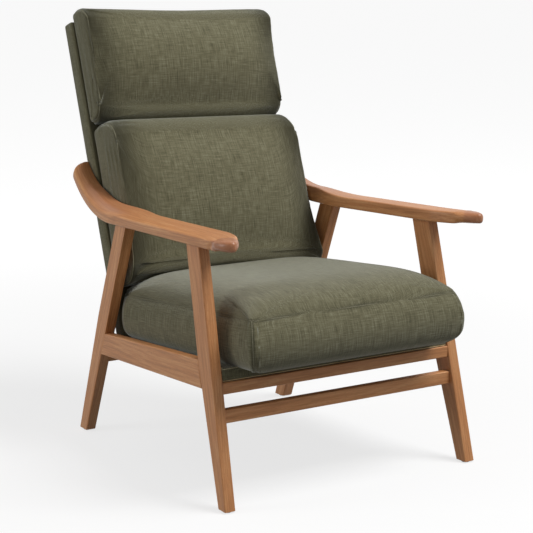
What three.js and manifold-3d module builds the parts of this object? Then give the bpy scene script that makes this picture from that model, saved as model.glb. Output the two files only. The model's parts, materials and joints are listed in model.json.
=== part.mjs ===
// A high-backed fireside chair with an open wooden arm frame, an upholstered seat deck and back,
// and three loose boxed cushions. Millimetres, +Z up, and the chair faces -Y.
// The left-hand side is the one on the left of someone who looks at the chair's front: -X.
import * as THREE from "three";
import { mergeVertices } from "three/addons/utils/BufferGeometryUtils.js";
import Module from "manifold-3d";

const wasm = await Module();
wasm.setup();

// Clearances
const fit = 0.3; // gap between two pieces that touch
const overrun = 6; // how far a cutter runs past the face that it cuts

// Angles, in degrees
const toeInAngle = 2.862; // the side frames come together towards the rear
const cantAngle = 1.146; // and lean in towards the top
const deckFallAngle = 4.6; // the seat deck slopes down to the rear
const backRakeAngle = 18.4; // the back leans to the rear

// Side frames: the outer faces of the legs and side rails lie in one plane
const sideHalfWidth = 322; // at the floor, on the line Y = 0
const legThickness = 26.5;
const frontLeg = { footFront: -362.9, leanAngle: 13.5, footDepth: 32, depth: 58, taperTop: 310 };
const rearLeg = { footFront: 350, leanAngle: -22.28, footDepth: 37.5, depth: 54.4, taperTop: 310 };
const sideRail = {
  thickness: 24,
  frontTop: 309,
  frontBottom: 248,
  rearTop: 269,
  rearBottom: 214,
  tenonLength: 22,
  tenonThickness: 10,
  tenonShoulder: 9,
};
const legTenon = { height: 17, length: 34, thickness: 11 };

// Arms: a straight run, then an arc that sweeps up to the back
const arm = {
  underside: 551, // height on the line Y = 0
  fallAngle: 1.9, // degrees, down to the rear
  thickness: 28.5,
  inside: 56.4, // overhang inside the side frame's outer face
  outside: 22.4,
  noseEnd: -382,
  noseLength: 74,
  noseInset: 26, // from the outer edge to the nose's tip
  innerCurve: 117,
  outerCurve: 52,
  noseThickness: 18,
  noseDrop: 3,
  sweepStart: 182,
  narrowLength: 90, // where the inner edge moves out, ahead of the sweep
  narrowSteps: 3,
  sweepRadius: 288,
  sweepAngle: 50,
  tailThickness: 25,
  tailOutside: 15,
  tailRound: 34,
};

// Cross rails
const frontRail = { front: -299, bottom: 242, top: 268.5, depth: 22, topFallAngle: deckFallAngle };
const stretcher = { front: -305.7, bottom: 179.7, top: 209.7, depth: 20, topFallAngle: 0 };
const rearRail = { front: 268.5, bottom: 191, top: 224, depth: 20, topFallAngle: 0 };
const crossTenon = { length: 18, shoulder: 5 };

// Glides under the feet
const glide = { radius: 10, height: 3, edge: 1, pinRadius: 2, pinLength: 12 };

// Seat deck, built in the deck's own slope: Y runs to the rear and Z is square to the deck
const deck = {
  setBack: 3, // behind the front rail's face
  clothThickness: 1.5,
  dustThickness: 0.8,
  battenHeight: 18,
  battenWidth: 40,
  sideBattenWidth: 24,
  strapThickness: 1.5,
  strapWidth: 60,
  straps: 4,
  foamThickness: 7,
  battenTenon: 14,
  battenTenonHeight: 8,
};

// Fasteners
const seatBolt = { radius: 3, headRadius: 6, headHeight: 4, grip: 15, fromFront: 105, fromRear: 90 };
const armBolt = { radius: 4, headRadius: 7, headHeight: 4, along: 667, forward: 15, reach: 17 };
const insert = { radius: 6, length: 20 };
const linkBolt = { radius: 4, headRadius: 7, headHeight: 4, reach: 20, offCentre: 150 };

// Back, built in its own rake: Z runs up the back, and -Y is square to it, towards the sitter
const back = {
  rearFaceAtFloor: 192.7, // where the line of the rear face meets the floor
  halfWidth: 256,
  thickness: 43,
  bottom: 215,
  top: 1034,
  corner: 3,
  clothThickness: 2,
  frameDepth: 27,
  stileWidth: 44,
  railHeight: 52,
  middleRailBottom: 596,
  railTenon: 16,
  railTenonDepth: 10,
  strapThickness: 1.5,
  strapWidth: 70,
  strapsPerBay: 2, // between one rail and the next
};

// Cushions: the cover's size at its seams, and how far its faces stand out of them or draw in.
// The first end is a seat cushion's front and a back cushion's foot.
const seatCushion = {
  halfWidthFrom: 276,
  halfWidthTo: 262,
  from: -76, // ahead of the front rail's face
  to: 529,
  thicknessFrom: 107,
  thicknessTo: 104,
  crown: 60,
  arch: 0,
  sideSwell: 13,
  fromSwell: 20,
  toSwell: 0,
  drawIn: 5,
  cover: 2,
};
const backCushion = {
  halfWidthFrom: 253,
  halfWidthTo: 252,
  from: 358,
  to: 762,
  thicknessFrom: 121,
  thicknessTo: 119,
  crown: 24,
  arch: 25,
  sideSwell: 3,
  fromSwell: 0,
  toSwell: 0,
  drawIn: 4,
  cover: 2,
};
const headCushion = {
  halfWidthFrom: 258,
  halfWidthTo: 261,
  from: 763,
  to: 1034,
  thicknessFrom: 67,
  thicknessTo: 85,
  crown: 23,
  arch: 0,
  sideSwell: 6,
  fromSwell: 0,
  toSwell: 3,
  drawIn: 4,
  cover: 2,
};
const zip = { length: 320, width: 9, rise: 60 };
const cushionStrip = { length: 440, height: 90, thickness: 1.2 };

// How the arm's section runs: across the width from the inside, and up from the middle,
// both as shares of half the size
const armSectionShares = [
  [-1, -0.15],
  [-0.93, -0.72],
  [-0.78, -1],
  [0.78, -1],
  [0.93, -0.72],
  [1, -0.15],
  [0.96, 0.35],
  [0.8, 0.72],
  [0.45, 0.93],
  [0, 1],
  [-0.45, 0.97],
  [-0.82, 0.82],
  [-0.97, 0.4],
];

const radians = THREE.MathUtils.degToRad;
const slope = (degrees) => Math.tan(radians(degrees));

// Finishes: colour, roughness and metalness of each kind of material
const finishes = {
  wood: { color: 0xa9744b, roughness: 0.5, metalness: 0 },
  fabric: { color: 0x5d5f4c, roughness: 0.95, metalness: 0 },
  lining: { color: 0x26261f, roughness: 0.95, metalness: 0 },
  foam: { color: 0xe6dcb8, roughness: 1, metalness: 0 },
  webbing: { color: 0x1d1d1b, roughness: 0.9, metalness: 0 },
  batten: { color: 0xcdb58c, roughness: 0.8, metalness: 0 },
  steel: { color: 0x9a9c9e, roughness: 0.4, metalness: 1 },
  plastic: { color: 0x2a211b, roughness: 0.6, metalness: 0 },
};

// A geometry as a solid that can be cut and joined
function solid(geometry) {
  const bare = geometry.clone();
  bare.deleteAttribute("normal");
  bare.deleteAttribute("uv");
  const merged = mergeVertices(bare);
  return new wasm.Manifold(
    new wasm.Mesh({
      numProp: 3,
      vertProperties: new Float32Array(merged.attributes.position.array),
      triVerts: new Uint32Array(merged.index.array),
    }),
  );
}

// A solid as a geometry that can be drawn
function drawn(shape) {
  const mesh = shape.getMesh();
  const geometry = new THREE.BufferGeometry();
  geometry.setAttribute("position", new THREE.BufferAttribute(mesh.vertProperties, 3));
  geometry.setIndex(new THREE.BufferAttribute(mesh.triVerts, 1));
  const faceted = geometry.toNonIndexed();
  faceted.computeVertexNormals();
  return faceted;
}

function piece(name, shape, finish) {
  const geometry = shape.isBufferGeometry ? shape : drawn(shape);
  const mesh = new THREE.Mesh(geometry, new THREE.MeshStandardMaterial(finishes[finish]));
  mesh.name = name;
  return mesh;
}

// Moves every vertex of a geometry
function reshaped(geometry, move) {
  const position = geometry.attributes.position;
  const point = new THREE.Vector3();
  for (let i = 0; i < position.count; i++) {
    point.fromBufferAttribute(position, i);
    move(point);
    position.setXYZ(i, point.x, point.y, point.z);
  }
  return geometry;
}

// An outline of [y, z] points, taken anticlockwise or clockwise, run along X from one place to another
function prism(outline, from, to) {
  const shape = new THREE.Shape(outline.map(([y, z]) => new THREE.Vector2(y, z)));
  const geometry = new THREE.ExtrudeGeometry(shape, { depth: to - from, bevelEnabled: false });
  const turn = new THREE.Matrix4().makeBasis(
    new THREE.Vector3(0, 1, 0),
    new THREE.Vector3(0, 0, 1),
    new THREE.Vector3(1, 0, 0),
  );
  return geometry.applyMatrix4(turn).translate(from, 0, 0);
}

const rectangle = (y0, y1, z0, z1) => [
  [y0, z0],
  [y1, z0],
  [y1, z1],
  [y0, z1],
];

function box(x0, x1, y0, y1, z0, z1) {
  return prism(rectangle(y0, y1, z0, z1), x0, x1);
}

const facets = 12;

function rodAlongX(radius, from, to, y, z) {
  const rod = new THREE.CylinderGeometry(radius, radius, to - from, facets);
  rod.rotateZ(radians(90));
  return rod.translate((from + to) / 2, y, z);
}

function rodAlongY(radius, from, to, x, z) {
  const rod = new THREE.CylinderGeometry(radius, radius, to - from, facets);
  return rod.translate(x, (from + to) / 2, z);
}

// A round-headed bolt from its head's underside at `seat`, with the head towards -X or -Y
const boltAlongX = (bolt, seat, tip, y, z) =>
  solid(rodAlongX(bolt.radius, seat - bolt.headHeight / 2, tip, y, z)).add(
    solid(rodAlongX(bolt.headRadius, seat - bolt.headHeight, seat, y, z)),
  );
const boltAlongY = (bolt, seat, tip, x, z) =>
  solid(rodAlongY(bolt.radius, seat - bolt.headHeight / 2, tip, x, z)).add(
    solid(rodAlongY(bolt.headRadius, seat - bolt.headHeight, seat, x, z)),
  );

// Places: the deck's slope and the back's rake as matrices from their own axes to the chair's
function tilted(y, z, degrees) {
  return new THREE.Matrix4()
    .makeTranslation(0, y, z)
    .multiply(new THREE.Matrix4().makeRotationX(-radians(degrees)));
}
const level = new THREE.Matrix4();
const deckPlace = tilted(frontRail.front, frontRail.top, deckFallAngle);
const backPlace = tilted(back.rearFaceAtFloor, 0, backRakeAngle);

// Half the chair's width over the side frames' outer faces, at a height and depth
const sideX = (y, z) => sideHalfWidth - slope(toeInAngle) * y - slope(cantAngle) * z;

// Takes X as the distance out from the right-hand side frame's outer face
function onSide(geometry, place = level) {
  const world = new THREE.Vector3();
  return reshaped(geometry, (point) => {
    world.set(0, point.y, point.z).applyMatrix4(place);
    point.x += sideX(world.y, world.z);
  });
}

// An outline run from one side frame to the other, stopping a distance in from their outer faces
function acrossSides(outline, inset, place = level) {
  const world = new THREE.Vector3();
  return reshaped(prism(outline, -1, 1), (point) => {
    world.set(0, point.y, point.z).applyMatrix4(place);
    point.x *= sideX(world.y, world.z) - inset;
  });
}

// Legs: the edges' places along Y at a height
const legFront = (leg, z) => leg.footFront + slope(leg.leanAngle) * z;
function legRear(leg, z) {
  const above = Math.min(z / leg.taperTop, 1);
  return legFront(leg, z) + leg.footDepth + (leg.depth - leg.footDepth) * above;
}
const armUnderside = (y) => arm.underside - slope(arm.fallAngle) * y;

// The height at which a leg's edge meets the arm
function meetsArm(leg, edgeAtArm) {
  const runUp = slope(leg.leanAngle);
  const atFloor = edgeAtArm(leg, arm.underside) - runUp * arm.underside;
  return (arm.underside - fit - slope(arm.fallAngle) * atFloor) / (1 + slope(arm.fallAngle) * runUp);
}

function legOutline(leg) {
  const foot = glide.height + fit;
  const frontTop = meetsArm(leg, legFront);
  const rearTop = meetsArm(leg, legRear);
  return [
    [legFront(leg, foot), foot],
    [legRear(leg, foot), foot],
    [legRear(leg, leg.taperTop), leg.taperTop],
    [legRear(leg, rearTop), rearTop],
    [legFront(leg, frontTop), frontTop],
  ];
}

// The tenon on a leg's top, or the mortise for it when it is grown by the clearance
function legTenonOutline(leg, grow) {
  const middle = (legFront(leg, arm.underside) + legRear(leg, arm.underside)) / 2;
  const half = legTenon.length / 2 + grow;
  const base = armUnderside(middle);
  return rectangle(middle - half, middle + half, base - legTenon.height, base + legTenon.height + grow);
}
const legTenonSolid = (leg, grow) =>
  solid(
    onSide(
      prism(
        legTenonOutline(leg, grow),
        -legThickness / 2 - legTenon.thickness / 2 - grow,
        -legThickness / 2 + legTenon.thickness / 2 + grow,
      ),
    ),
  );

// Side rail: its ends follow the legs' edges, and a tenon goes on into each leg
const railTopSlope =
  (sideRail.rearTop - sideRail.frontTop) /
  (legFront(rearLeg, sideRail.rearTop) - legRear(frontLeg, sideRail.frontTop));

function sideRailOutline() {
  return [
    [legRear(frontLeg, sideRail.frontBottom) + fit, sideRail.frontBottom],
    [legFront(rearLeg, sideRail.rearBottom) - fit, sideRail.rearBottom],
    [legFront(rearLeg, sideRail.rearTop) - fit, sideRail.rearTop],
    [legRear(frontLeg, sideRail.frontTop) + fit, sideRail.frontTop],
  ];
}

// A tenon's outline from inside the rail to its end in the leg
function railTenonOutline(end, grow) {
  const front = end === "front";
  const top = (front ? sideRail.frontTop : sideRail.rearTop) - sideRail.tenonShoulder + grow;
  const bottom = (front ? sideRail.frontBottom : sideRail.rearBottom) + sideRail.tenonShoulder - grow;
  const shoulder = front
    ? legRear(frontLeg, (top + bottom) / 2)
    : legFront(rearLeg, (top + bottom) / 2);
  const into = (front ? -1 : 1) * (sideRail.tenonLength + grow);
  const tip = shoulder + into;
  const root = shoulder - into;
  const drop = railTopSlope * (tip - root);
  return [
    [root, bottom - drop / 2],
    [tip, bottom + drop / 2],
    [tip, top + drop / 2],
    [root, top - drop / 2],
  ];
}
function railTenonSolid(end, grow) {
  const outside = -(sideRail.thickness - sideRail.tenonThickness) / 2;
  const outline = railTenonOutline(end, grow);
  return solid(onSide(prism(outline, outside - sideRail.tenonThickness - grow, outside + grow)));
}

// Cross rails: a bar between the legs with a tenon in each, in [y, z]
function barOutline(bar) {
  const rear = bar.front + bar.depth;
  return [
    [bar.front, bar.bottom],
    [rear, bar.bottom],
    [rear, bar.top - slope(bar.topFallAngle) * bar.depth],
    [bar.front, bar.top],
  ];
}
function barTenonOutline(bar, grow) {
  const inset = crossTenon.shoulder - grow;
  return rectangle(bar.front + inset, bar.front + bar.depth - inset, bar.bottom + inset, bar.top - inset);
}
const crossBar = (bar) =>
  solid(acrossSides(barOutline(bar), legThickness + fit)).add(
    solid(acrossSides(barTenonOutline(bar, 0), legThickness - crossTenon.length)),
  );
const barMortise = (bar) =>
  solid(
    onSide(
      prism(barTenonOutline(bar, fit), -legThickness - overrun, -legThickness + crossTenon.length + fit),
    ),
  );

// Glide: a turned disc under the foot, with a pin up into it
function glideAt(leg, grow) {
  const middle = (legFront(leg, 0) + legRear(leg, 0)) / 2;
  const x = sideX(middle, 0) - legThickness / 2;
  const profile = [
    [0, 0],
    [glide.radius - glide.edge, 0],
    [glide.radius, glide.edge],
    [glide.radius, glide.height],
    [glide.pinRadius + grow, glide.height],
    [glide.pinRadius + grow, glide.height + glide.pinLength + grow],
    [0, glide.height + glide.pinLength + grow],
  ].map(([radius, height]) => new THREE.Vector2(radius, height));
  const turned = new THREE.LatheGeometry(profile, facets);
  return solid(turned.rotateX(radians(90)).translate(x, middle, 0));
}

// How far a place lies into a curve that ends at the nose's tip: 0 at its start and 1 at the tip
const intoNose = (y, curve) => THREE.MathUtils.clamp((arm.noseEnd + curve - y) / curve, 0, 1);

// Arm: stations along its path, each with its middle, its direction and its section's size
function armStations() {
  const stations = [];
  const direction = -radians(arm.fallAngle);
  const middleHeight = (y) => armUnderside(y) + arm.thickness / 2;
  const noseSteps = 9;
  const roundest = radians(80);
  for (let i = noseSteps; i >= 0; i--) {
    const y = arm.noseEnd + arm.innerCurve * (1 - Math.sin((roundest * i) / noseSteps));
    const fullness = Math.sqrt(1 - intoNose(y, arm.noseLength) ** 2);
    const thickness = THREE.MathUtils.lerp(arm.noseThickness, arm.thickness, fullness);
    stations.push({
      y,
      z: middleHeight(y) - (arm.thickness - thickness) / 2 + arm.noseDrop * (1 - fullness),
      direction,
      thickness,
      sweep: 0,
    });
  }
  for (let i = arm.narrowSteps; i > 0; i--) {
    const y = arm.sweepStart - (arm.narrowLength * i) / arm.narrowSteps;
    stations.push({ y, z: middleHeight(y), direction, thickness: arm.thickness, sweep: 0 });
  }
  const sweepSteps = 11;
  const closerToTail = 1.5;
  const sweepHeight = middleHeight(arm.sweepStart);
  for (let i = 0; i <= sweepSteps; i++) {
    const share = 1 - (1 - i / sweepSteps) ** closerToTail;
    const turn = radians(arm.sweepAngle) * share;
    const heading = direction + turn;
    stations.push({
      y: arm.sweepStart + arm.sweepRadius * (Math.sin(heading) - Math.sin(direction)),
      z: sweepHeight + arm.sweepRadius * (Math.cos(direction) - Math.cos(heading)),
      direction: heading,
      thickness: THREE.MathUtils.lerp(arm.thickness, arm.tailThickness, share),
      sweep: share,
    });
  }
  return stations;
}

// The arm's inner and outer edge at a station, out from the side frame's outer face.
// The inner edge moves out to pass beside the back, the outer one rounds in at the tail, and both
// curve to the nose's tip, the inner one over a longer stretch and with less belly.
const innerBelly = 1.5;
function armEdges(station) {
  const besideBack = back.halfWidth + fit - sideX(station.y, station.z);
  const narrowFrom = arm.sweepStart - arm.narrowLength;
  const leaving = THREE.MathUtils.smoothstep(station.y, narrowFrom, arm.sweepStart);
  const inner = THREE.MathUtils.lerp(-arm.inside, besideBack, leaving);
  const toTail = (1 - station.sweep) * radians(arm.sweepAngle) * arm.sweepRadius;
  const left = Math.min(toTail / arm.tailRound, 1);
  const rounding = arm.tailRound * (1 - Math.sqrt(1 - (1 - left) ** 2));
  const outer = THREE.MathUtils.lerp(arm.outside, arm.tailOutside, station.sweep) - rounding;
  const tip = arm.outside - arm.noseInset;
  const innerShare = (1 - intoNose(station.y, arm.innerCurve) ** innerBelly) ** (1 / innerBelly);
  const outerShare = Math.sqrt(1 - intoNose(station.y, arm.outerCurve) ** 2);
  return {
    inner: THREE.MathUtils.lerp(tip, inner, innerShare),
    outer: THREE.MathUtils.lerp(tip, outer, outerShare),
  };
}

// A closed skin over rings of equally many points, with a flat cap at each end
function loft(rings) {
  const around = rings[0].length;
  const positions = rings.flat(2);
  const index = [];
  for (let r = 0; r + 1 < rings.length; r++) {
    for (let i = 0; i < around; i++) {
      const next = (i + 1) % around;
      const a = r * around + i;
      const b = r * around + next;
      index.push(a, a + around, b, b, a + around, b + around);
    }
  }
  const last = (rings.length - 1) * around;
  for (let i = 1; i + 1 < around; i++) {
    index.push(0, i, i + 1, last, last + i + 1, last + i);
  }
  const geometry = new THREE.BufferGeometry();
  geometry.setAttribute("position", new THREE.Float32BufferAttribute(positions, 3));
  geometry.setIndex(index);
  return geometry;
}

function armBlank() {
  const rings = armStations().map((station) => {
    const { inner, outer } = armEdges(station);
    return armSectionShares.map(([across, up]) => {
      const lift = (up * station.thickness) / 2;
      return [
        (inner + outer) / 2 + (across * (outer - inner)) / 2,
        station.y - Math.sin(station.direction) * lift,
        station.z + Math.cos(station.direction) * lift,
      ];
    });
  });
  return solid(onSide(loft(rings)));
}

// The place on the back where the arm is bolted to it, in the chair's axes
const armBoltPlace = new THREE.Vector3(0, -armBolt.forward, armBolt.along).applyMatrix4(backPlace);
const insertFrom = back.halfWidth + fit + fit;

// The seat bolts' places along the deck, and their height in it
const deckBottom = fit;
const battenBottom = deckBottom + deck.dustThickness + fit;
const battenTop = battenBottom + deck.battenHeight;
const strapBottom = battenTop + fit;
const foamBottom = strapBottom + deck.strapThickness + fit;
const foamTop = foamBottom + deck.foamThickness;
const deckTop = foamTop + fit + deck.clothThickness;
const battenMiddle = (battenBottom + battenTop) / 2;

// The deck ends where its lower rear edge meets the back's front face
const backFrontInDeck = new THREE.Vector3(0, -back.thickness, 0)
  .applyMatrix4(backPlace)
  .applyMatrix4(deckPlace.clone().invert());
const deckRear =
  backFrontInDeck.y + slope(backRakeAngle - deckFallAngle) * (deckBottom - backFrontInDeck.z) - fit - fit;
const clothRear = deckRear - deck.clothThickness;
const battenRear = clothRear - fit;
const battenFront = deck.setBack + deck.clothThickness + fit;
const deckInset = legThickness + fit;
const battenInset = deckInset + deck.clothThickness + fit;
const seatBoltPlaces = { front: seatBolt.fromFront, rear: deckRear - seatBolt.fromRear };

// A seat bolt's axis runs along X, so its height is taken in the chair's axes
function seatBoltAt(end) {
  return new THREE.Vector3(0, seatBoltPlaces[end], battenMiddle).applyMatrix4(deckPlace);
}
const seatBoltHead = (end) => {
  const at = seatBoltAt(end);
  return sideX(at.y, at.z) - battenInset - deck.sideBattenWidth;
};

// Cutters for the seat bolts, in the chair's axes
const hands = { left: -1, right: 1 };
const bothHands = Object.keys(hands);
function seatBoltHoles(hand) {
  return Object.keys(seatBoltPlaces).map((end) => {
    const at = seatBoltAt(end);
    const head = seatBoltHead(end) - overrun;
    const tip = sideX(at.y, at.z) - sideRail.thickness + seatBolt.grip + fit;
    const [from, to] = hand === "right" ? [head, tip] : [-tip, -head];
    return rodAlongX(seatBolt.radius + fit, from, to, at.y, at.z);
  });
}
const cutAll = (shape, cutters) => cutters.reduce((left, cutter) => left.subtract(solid(cutter)), shape);
const inPlace = (geometry, place) => geometry.clone().applyMatrix4(place.clone().invert());

// A sleeve in the arm, and the bolt that comes into it from inside the back
const { y: armBoltY, z: armBoltZ } = armBoltPlace;
const insertEnd = insertFrom + insert.length;
const stileOuter = back.halfWidth - back.clothThickness - fit;
const stileInner = stileOuter - back.stileWidth;
const armRod = (radius, from, to) => rodAlongX(radius, from, to, armBoltY, armBoltZ);
function armInsert() {
  const bore = armRod(armBolt.radius + fit, insertFrom - overrun, insertEnd + overrun);
  return solid(armRod(insert.radius, insertFrom, insertEnd)).subtract(solid(bore));
}

// The side frames are made once, on the right, and mirrored to the left
function sideFrame(hand) {
  const side = new THREE.Group();
  side.scale.x = hands[hand];
  const leg = (shape, end) =>
    solid(onSide(prism(legOutline(shape), -legThickness, 0)))
      .subtract(railTenonSolid(end, fit))
      .subtract(glideAt(shape, fit))
      .add(legTenonSolid(shape, 0));
  const frontLegSolid = leg(frontLeg, "front")
    .subtract(barMortise(frontRail))
    .subtract(barMortise(stretcher));
  const rearLegSolid = leg(rearLeg, "rear").subtract(barMortise(rearRail));
  const railBlank = solid(onSide(prism(sideRailOutline(), -sideRail.thickness, 0)))
    .add(railTenonSolid("front", 0))
    .add(railTenonSolid("rear", 0));
  const armSolid = armBlank()
    .subtract(legTenonSolid(frontLeg, fit))
    .subtract(legTenonSolid(rearLeg, fit))
    .subtract(solid(armRod(insert.radius + fit, back.halfWidth - overrun, insertEnd + fit)));
  side.add(
    piece(`front_leg_${hand}`, frontLegSolid, "wood"),
    piece(`rear_leg_${hand}`, rearLegSolid, "wood"),
    piece(`side_rail_${hand}`, cutAll(railBlank, seatBoltHoles("right")), "wood"),
    piece(`arm_${hand}`, armSolid, "wood"),
    piece(`glide_front_${hand}`, glideAt(frontLeg, 0), "plastic"),
    piece(`glide_rear_${hand}`, glideAt(rearLeg, 0), "plastic"),
    piece(`arm_insert_${hand}`, armInsert(), "steel"),
    piece(
      `arm_bolt_${hand}`,
      boltAlongX(armBolt, stileInner - fit, insertFrom + armBolt.reach, armBoltY, armBoltZ),
      "steel",
    ),
  );
  for (const end of Object.keys(seatBoltPlaces)) {
    const at = seatBoltAt(end);
    const tip = sideX(at.y, at.z) - sideRail.thickness + seatBolt.grip;
    const bolt = boltAlongX(seatBolt, seatBoltHead(end) - fit, tip, at.y, at.z);
    side.add(piece(`seat_bolt_${end}_${hand}`, bolt, "steel"));
  }
  return side;
}

function crossRails() {
  const rails = new THREE.Group();
  rails.add(
    piece("front_seat_rail", crossBar(frontRail), "wood"),
    piece("front_stretcher", crossBar(stretcher), "wood"),
    piece("rear_seat_rail", crossBar(rearRail), "wood"),
  );
  return rails;
}

// The link bolts run along the deck, through its rear batten and into the back's bottom rail
const linkSeat = battenRear - deck.battenWidth;
const linkTip = deckRear + linkBolt.reach;
const linkPlace = (hand) => hands[hand] * linkBolt.offCentre;
const linkHole = (hand) =>
  rodAlongY(linkBolt.radius + fit, linkSeat - overrun, linkTip + fit, linkPlace(hand), battenMiddle);

// Seat deck: a frame of battens with straps and foam over it, in a cloth cover
function seatDeck() {
  const group = new THREE.Group();
  group.applyMatrix4(deckPlace);
  const block = (y0, y1, z0, z1, inset) =>
    solid(acrossSides(rectangle(y0, y1, z0, z1), inset, deckPlace));
  const boltHoles = bothHands.flatMap((hand) =>
    seatBoltHoles(hand).map((hole) => inPlace(hole, deckPlace)),
  );
  const linkHoles = bothHands.map(linkHole);
  const hollowInset = deckInset + deck.clothThickness;
  const hollowFront = deck.setBack + deck.clothThickness;
  const cover = block(deck.setBack, deckRear, deckBottom, deckTop, deckInset).subtract(
    block(hollowFront, clothRear, deckBottom - overrun, foamTop + fit, hollowInset),
  );
  const lining = block(battenFront, battenRear, deckBottom, battenBottom - fit, battenInset);
  const foam = block(battenFront, battenRear, foamBottom, foamTop, battenInset);
  group.add(
    piece("deck_cover", cutAll(cover, [...boltHoles, ...linkHoles]), "fabric"),
    piece("dust_cloth", lining, "lining"),
    piece("deck_foam", foam, "foam"),
  );

  // Battens: the side ones run the whole depth, and the others are tenoned between them
  const crossInset = battenInset + deck.sideBattenWidth + fit;
  const half = deck.battenTenonHeight / 2;
  const margin = deck.battenTenonHeight;
  const tenonOf = ([y0, y1], grow) =>
    block(
      y0 + margin - grow,
      y1 - margin + grow,
      battenMiddle - half - grow,
      battenMiddle + half + grow,
      crossInset - deck.battenTenon - grow,
    );
  const crossBattens = {
    deck_front_batten: [battenFront, battenFront + deck.battenWidth],
    deck_rear_batten: [linkSeat, battenRear],
  };
  for (const [name, [y0, y1]] of Object.entries(crossBattens)) {
    const batten = block(y0, y1, battenBottom, battenTop, crossInset).add(tenonOf([y0, y1], 0));
    group.add(piece(name, cutAll(batten, linkHoles), "batten"));
  }
  const wide = block(battenFront, battenRear, battenBottom, battenTop, battenInset);
  const between = block(
    battenFront - overrun,
    battenRear + overrun,
    battenBottom - overrun,
    battenTop + overrun,
    battenInset + deck.sideBattenWidth,
  );
  const sides = Object.values(crossBattens)
    .reduce((left, span) => left.subtract(tenonOf(span, fit)), cutAll(wide.subtract(between), boltHoles))
    .decompose()
    .sort((a, b) => a.boundingBox().min[0] - b.boundingBox().min[0]);
  bothHands.forEach((hand, i) => group.add(piece(`deck_side_batten_${hand}`, sides[i], "batten")));

  // Straps of elastic webbing from side to side
  const pitch = (battenRear - battenFront) / deck.straps;
  for (let i = 0; i < deck.straps; i++) {
    const y0 = battenFront + pitch * (i + 1 / 2) - deck.strapWidth / 2;
    const strap = block(y0, y0 + deck.strapWidth, strapBottom, foamBottom - fit, battenInset);
    group.add(piece(`deck_strap_${i + 1}`, strap, "webbing"));
  }
  for (const hand of bothHands) {
    const bolt = boltAlongY(linkBolt, linkSeat - fit, linkTip, linkPlace(hand), battenMiddle);
    group.add(piece(`link_bolt_${hand}`, bolt, "steel"));
  }
  return group;
}

// The back's sleeve: a box with rounded upright edges, open below
function backSleeve() {
  const w = back.halfWidth;
  const r = back.corner;
  const outline = new THREE.Shape();
  outline.moveTo(r - w, -back.thickness);
  outline.lineTo(w - r, -back.thickness);
  outline.absarc(w - r, r - back.thickness, r, radians(-90), 0);
  outline.absarc(w - r, -r, r, 0, radians(90));
  outline.absarc(r - w, -r, r, radians(90), radians(180));
  outline.absarc(r - w, r - back.thickness, r, radians(180), radians(270));
  const outside = new THREE.ExtrudeGeometry(outline, {
    depth: back.top - back.bottom,
    bevelEnabled: false,
    curveSegments: 2,
  });
  return solid(outside.translate(0, 0, back.bottom));
}

// Back: a frame of stiles and rails with straps and foam over it, inside the sleeve
function backUnit() {
  const group = new THREE.Group();
  group.applyMatrix4(backPlace);
  const block = (x0, x1, rear, front, z0, z1) => solid(box(x0, x1, -front, -rear, z0, z1));
  const cloth = back.clothThickness;
  const frameRear = cloth + fit;
  const frameFront = frameRear + back.frameDepth;
  const strapRear = frameFront + fit;
  const strapFront = strapRear + back.strapThickness;
  const foamFront = back.thickness - cloth - fit;
  const frameTop = back.top - cloth - fit;
  const armHoles = [
    [stileInner - overrun, insertEnd],
    [-insertEnd, overrun - stileInner],
  ].map(([from, to]) => inPlace(armRod(armBolt.radius + fit, from, to), backPlace));
  const linkHoles = bothHands.map((hand) =>
    inPlace(linkHole(hand).applyMatrix4(deckPlace), backPlace),
  );
  const inner = back.halfWidth - cloth;
  const open = back.bottom - overrun;
  const hollow = block(-inner, inner, cloth, back.thickness - cloth, open, frameTop + fit);
  const sleeve = cutAll(backSleeve().subtract(hollow), [...armHoles, ...linkHoles]);
  const foamBase = back.bottom + back.railHeight;
  const foam = block(-stileOuter, stileOuter, strapFront + fit, foamFront, foamBase, frameTop);
  group.add(piece("back_cover", sleeve, "fabric"), piece("back_foam", foam, "foam"));

  // The rails' tenons go into the stiles
  const railInner = stileInner - fit;
  const middle = (frameRear + frameFront) / 2;
  const half = back.railTenonDepth / 2;
  const tenonOf = (bottom, grow) =>
    block(
      -railInner - back.railTenon - grow,
      railInner + back.railTenon + grow,
      middle - half - grow,
      middle + half + grow,
      bottom + back.railTenonDepth - grow,
      bottom + back.railHeight - back.railTenonDepth + grow,
    );
  const rails = {
    back_bottom_rail: back.bottom,
    back_middle_rail: back.middleRailBottom,
    back_top_rail: frameTop - back.railHeight,
  };
  for (const [name, bottom] of Object.entries(rails)) {
    const rail = block(-railInner, railInner, frameRear, frameFront, bottom, bottom + back.railHeight);
    group.add(piece(name, cutAll(rail.add(tenonOf(bottom, 0)), linkHoles), "batten"));
  }
  const ends = { left: [-stileOuter, -stileInner], right: [stileInner, stileOuter] };
  for (const [hand, [from, to]] of Object.entries(ends)) {
    const stile = Object.values(rails).reduce(
      (left, bottom) => left.subtract(tenonOf(bottom, fit)),
      block(from, to, frameRear, frameFront, back.bottom, frameTop),
    );
    group.add(piece(`back_stile_${hand}`, cutAll(stile, armHoles), "batten"));
  }

  // Straps of elastic webbing from stile to stile, spread evenly in each bay between two rails
  const railBottoms = Object.values(rails);
  const strapBottoms = railBottoms.slice(1).flatMap((above, bay) => {
    const floor = railBottoms[bay] + back.railHeight;
    const pitch = (above - floor) / back.strapsPerBay;
    const middles = Array.from({ length: back.strapsPerBay }, (_, i) => floor + pitch * (i + 1 / 2));
    return middles.map((middle) => middle - back.strapWidth / 2);
  });
  strapBottoms.forEach((bottom, i) => {
    const strap = block(-stileOuter, stileOuter, strapRear, strapFront, bottom, bottom + back.strapWidth);
    group.add(piece(`back_strap_${i + 1}`, strap, "webbing"));
  });
  return group;
}

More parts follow.
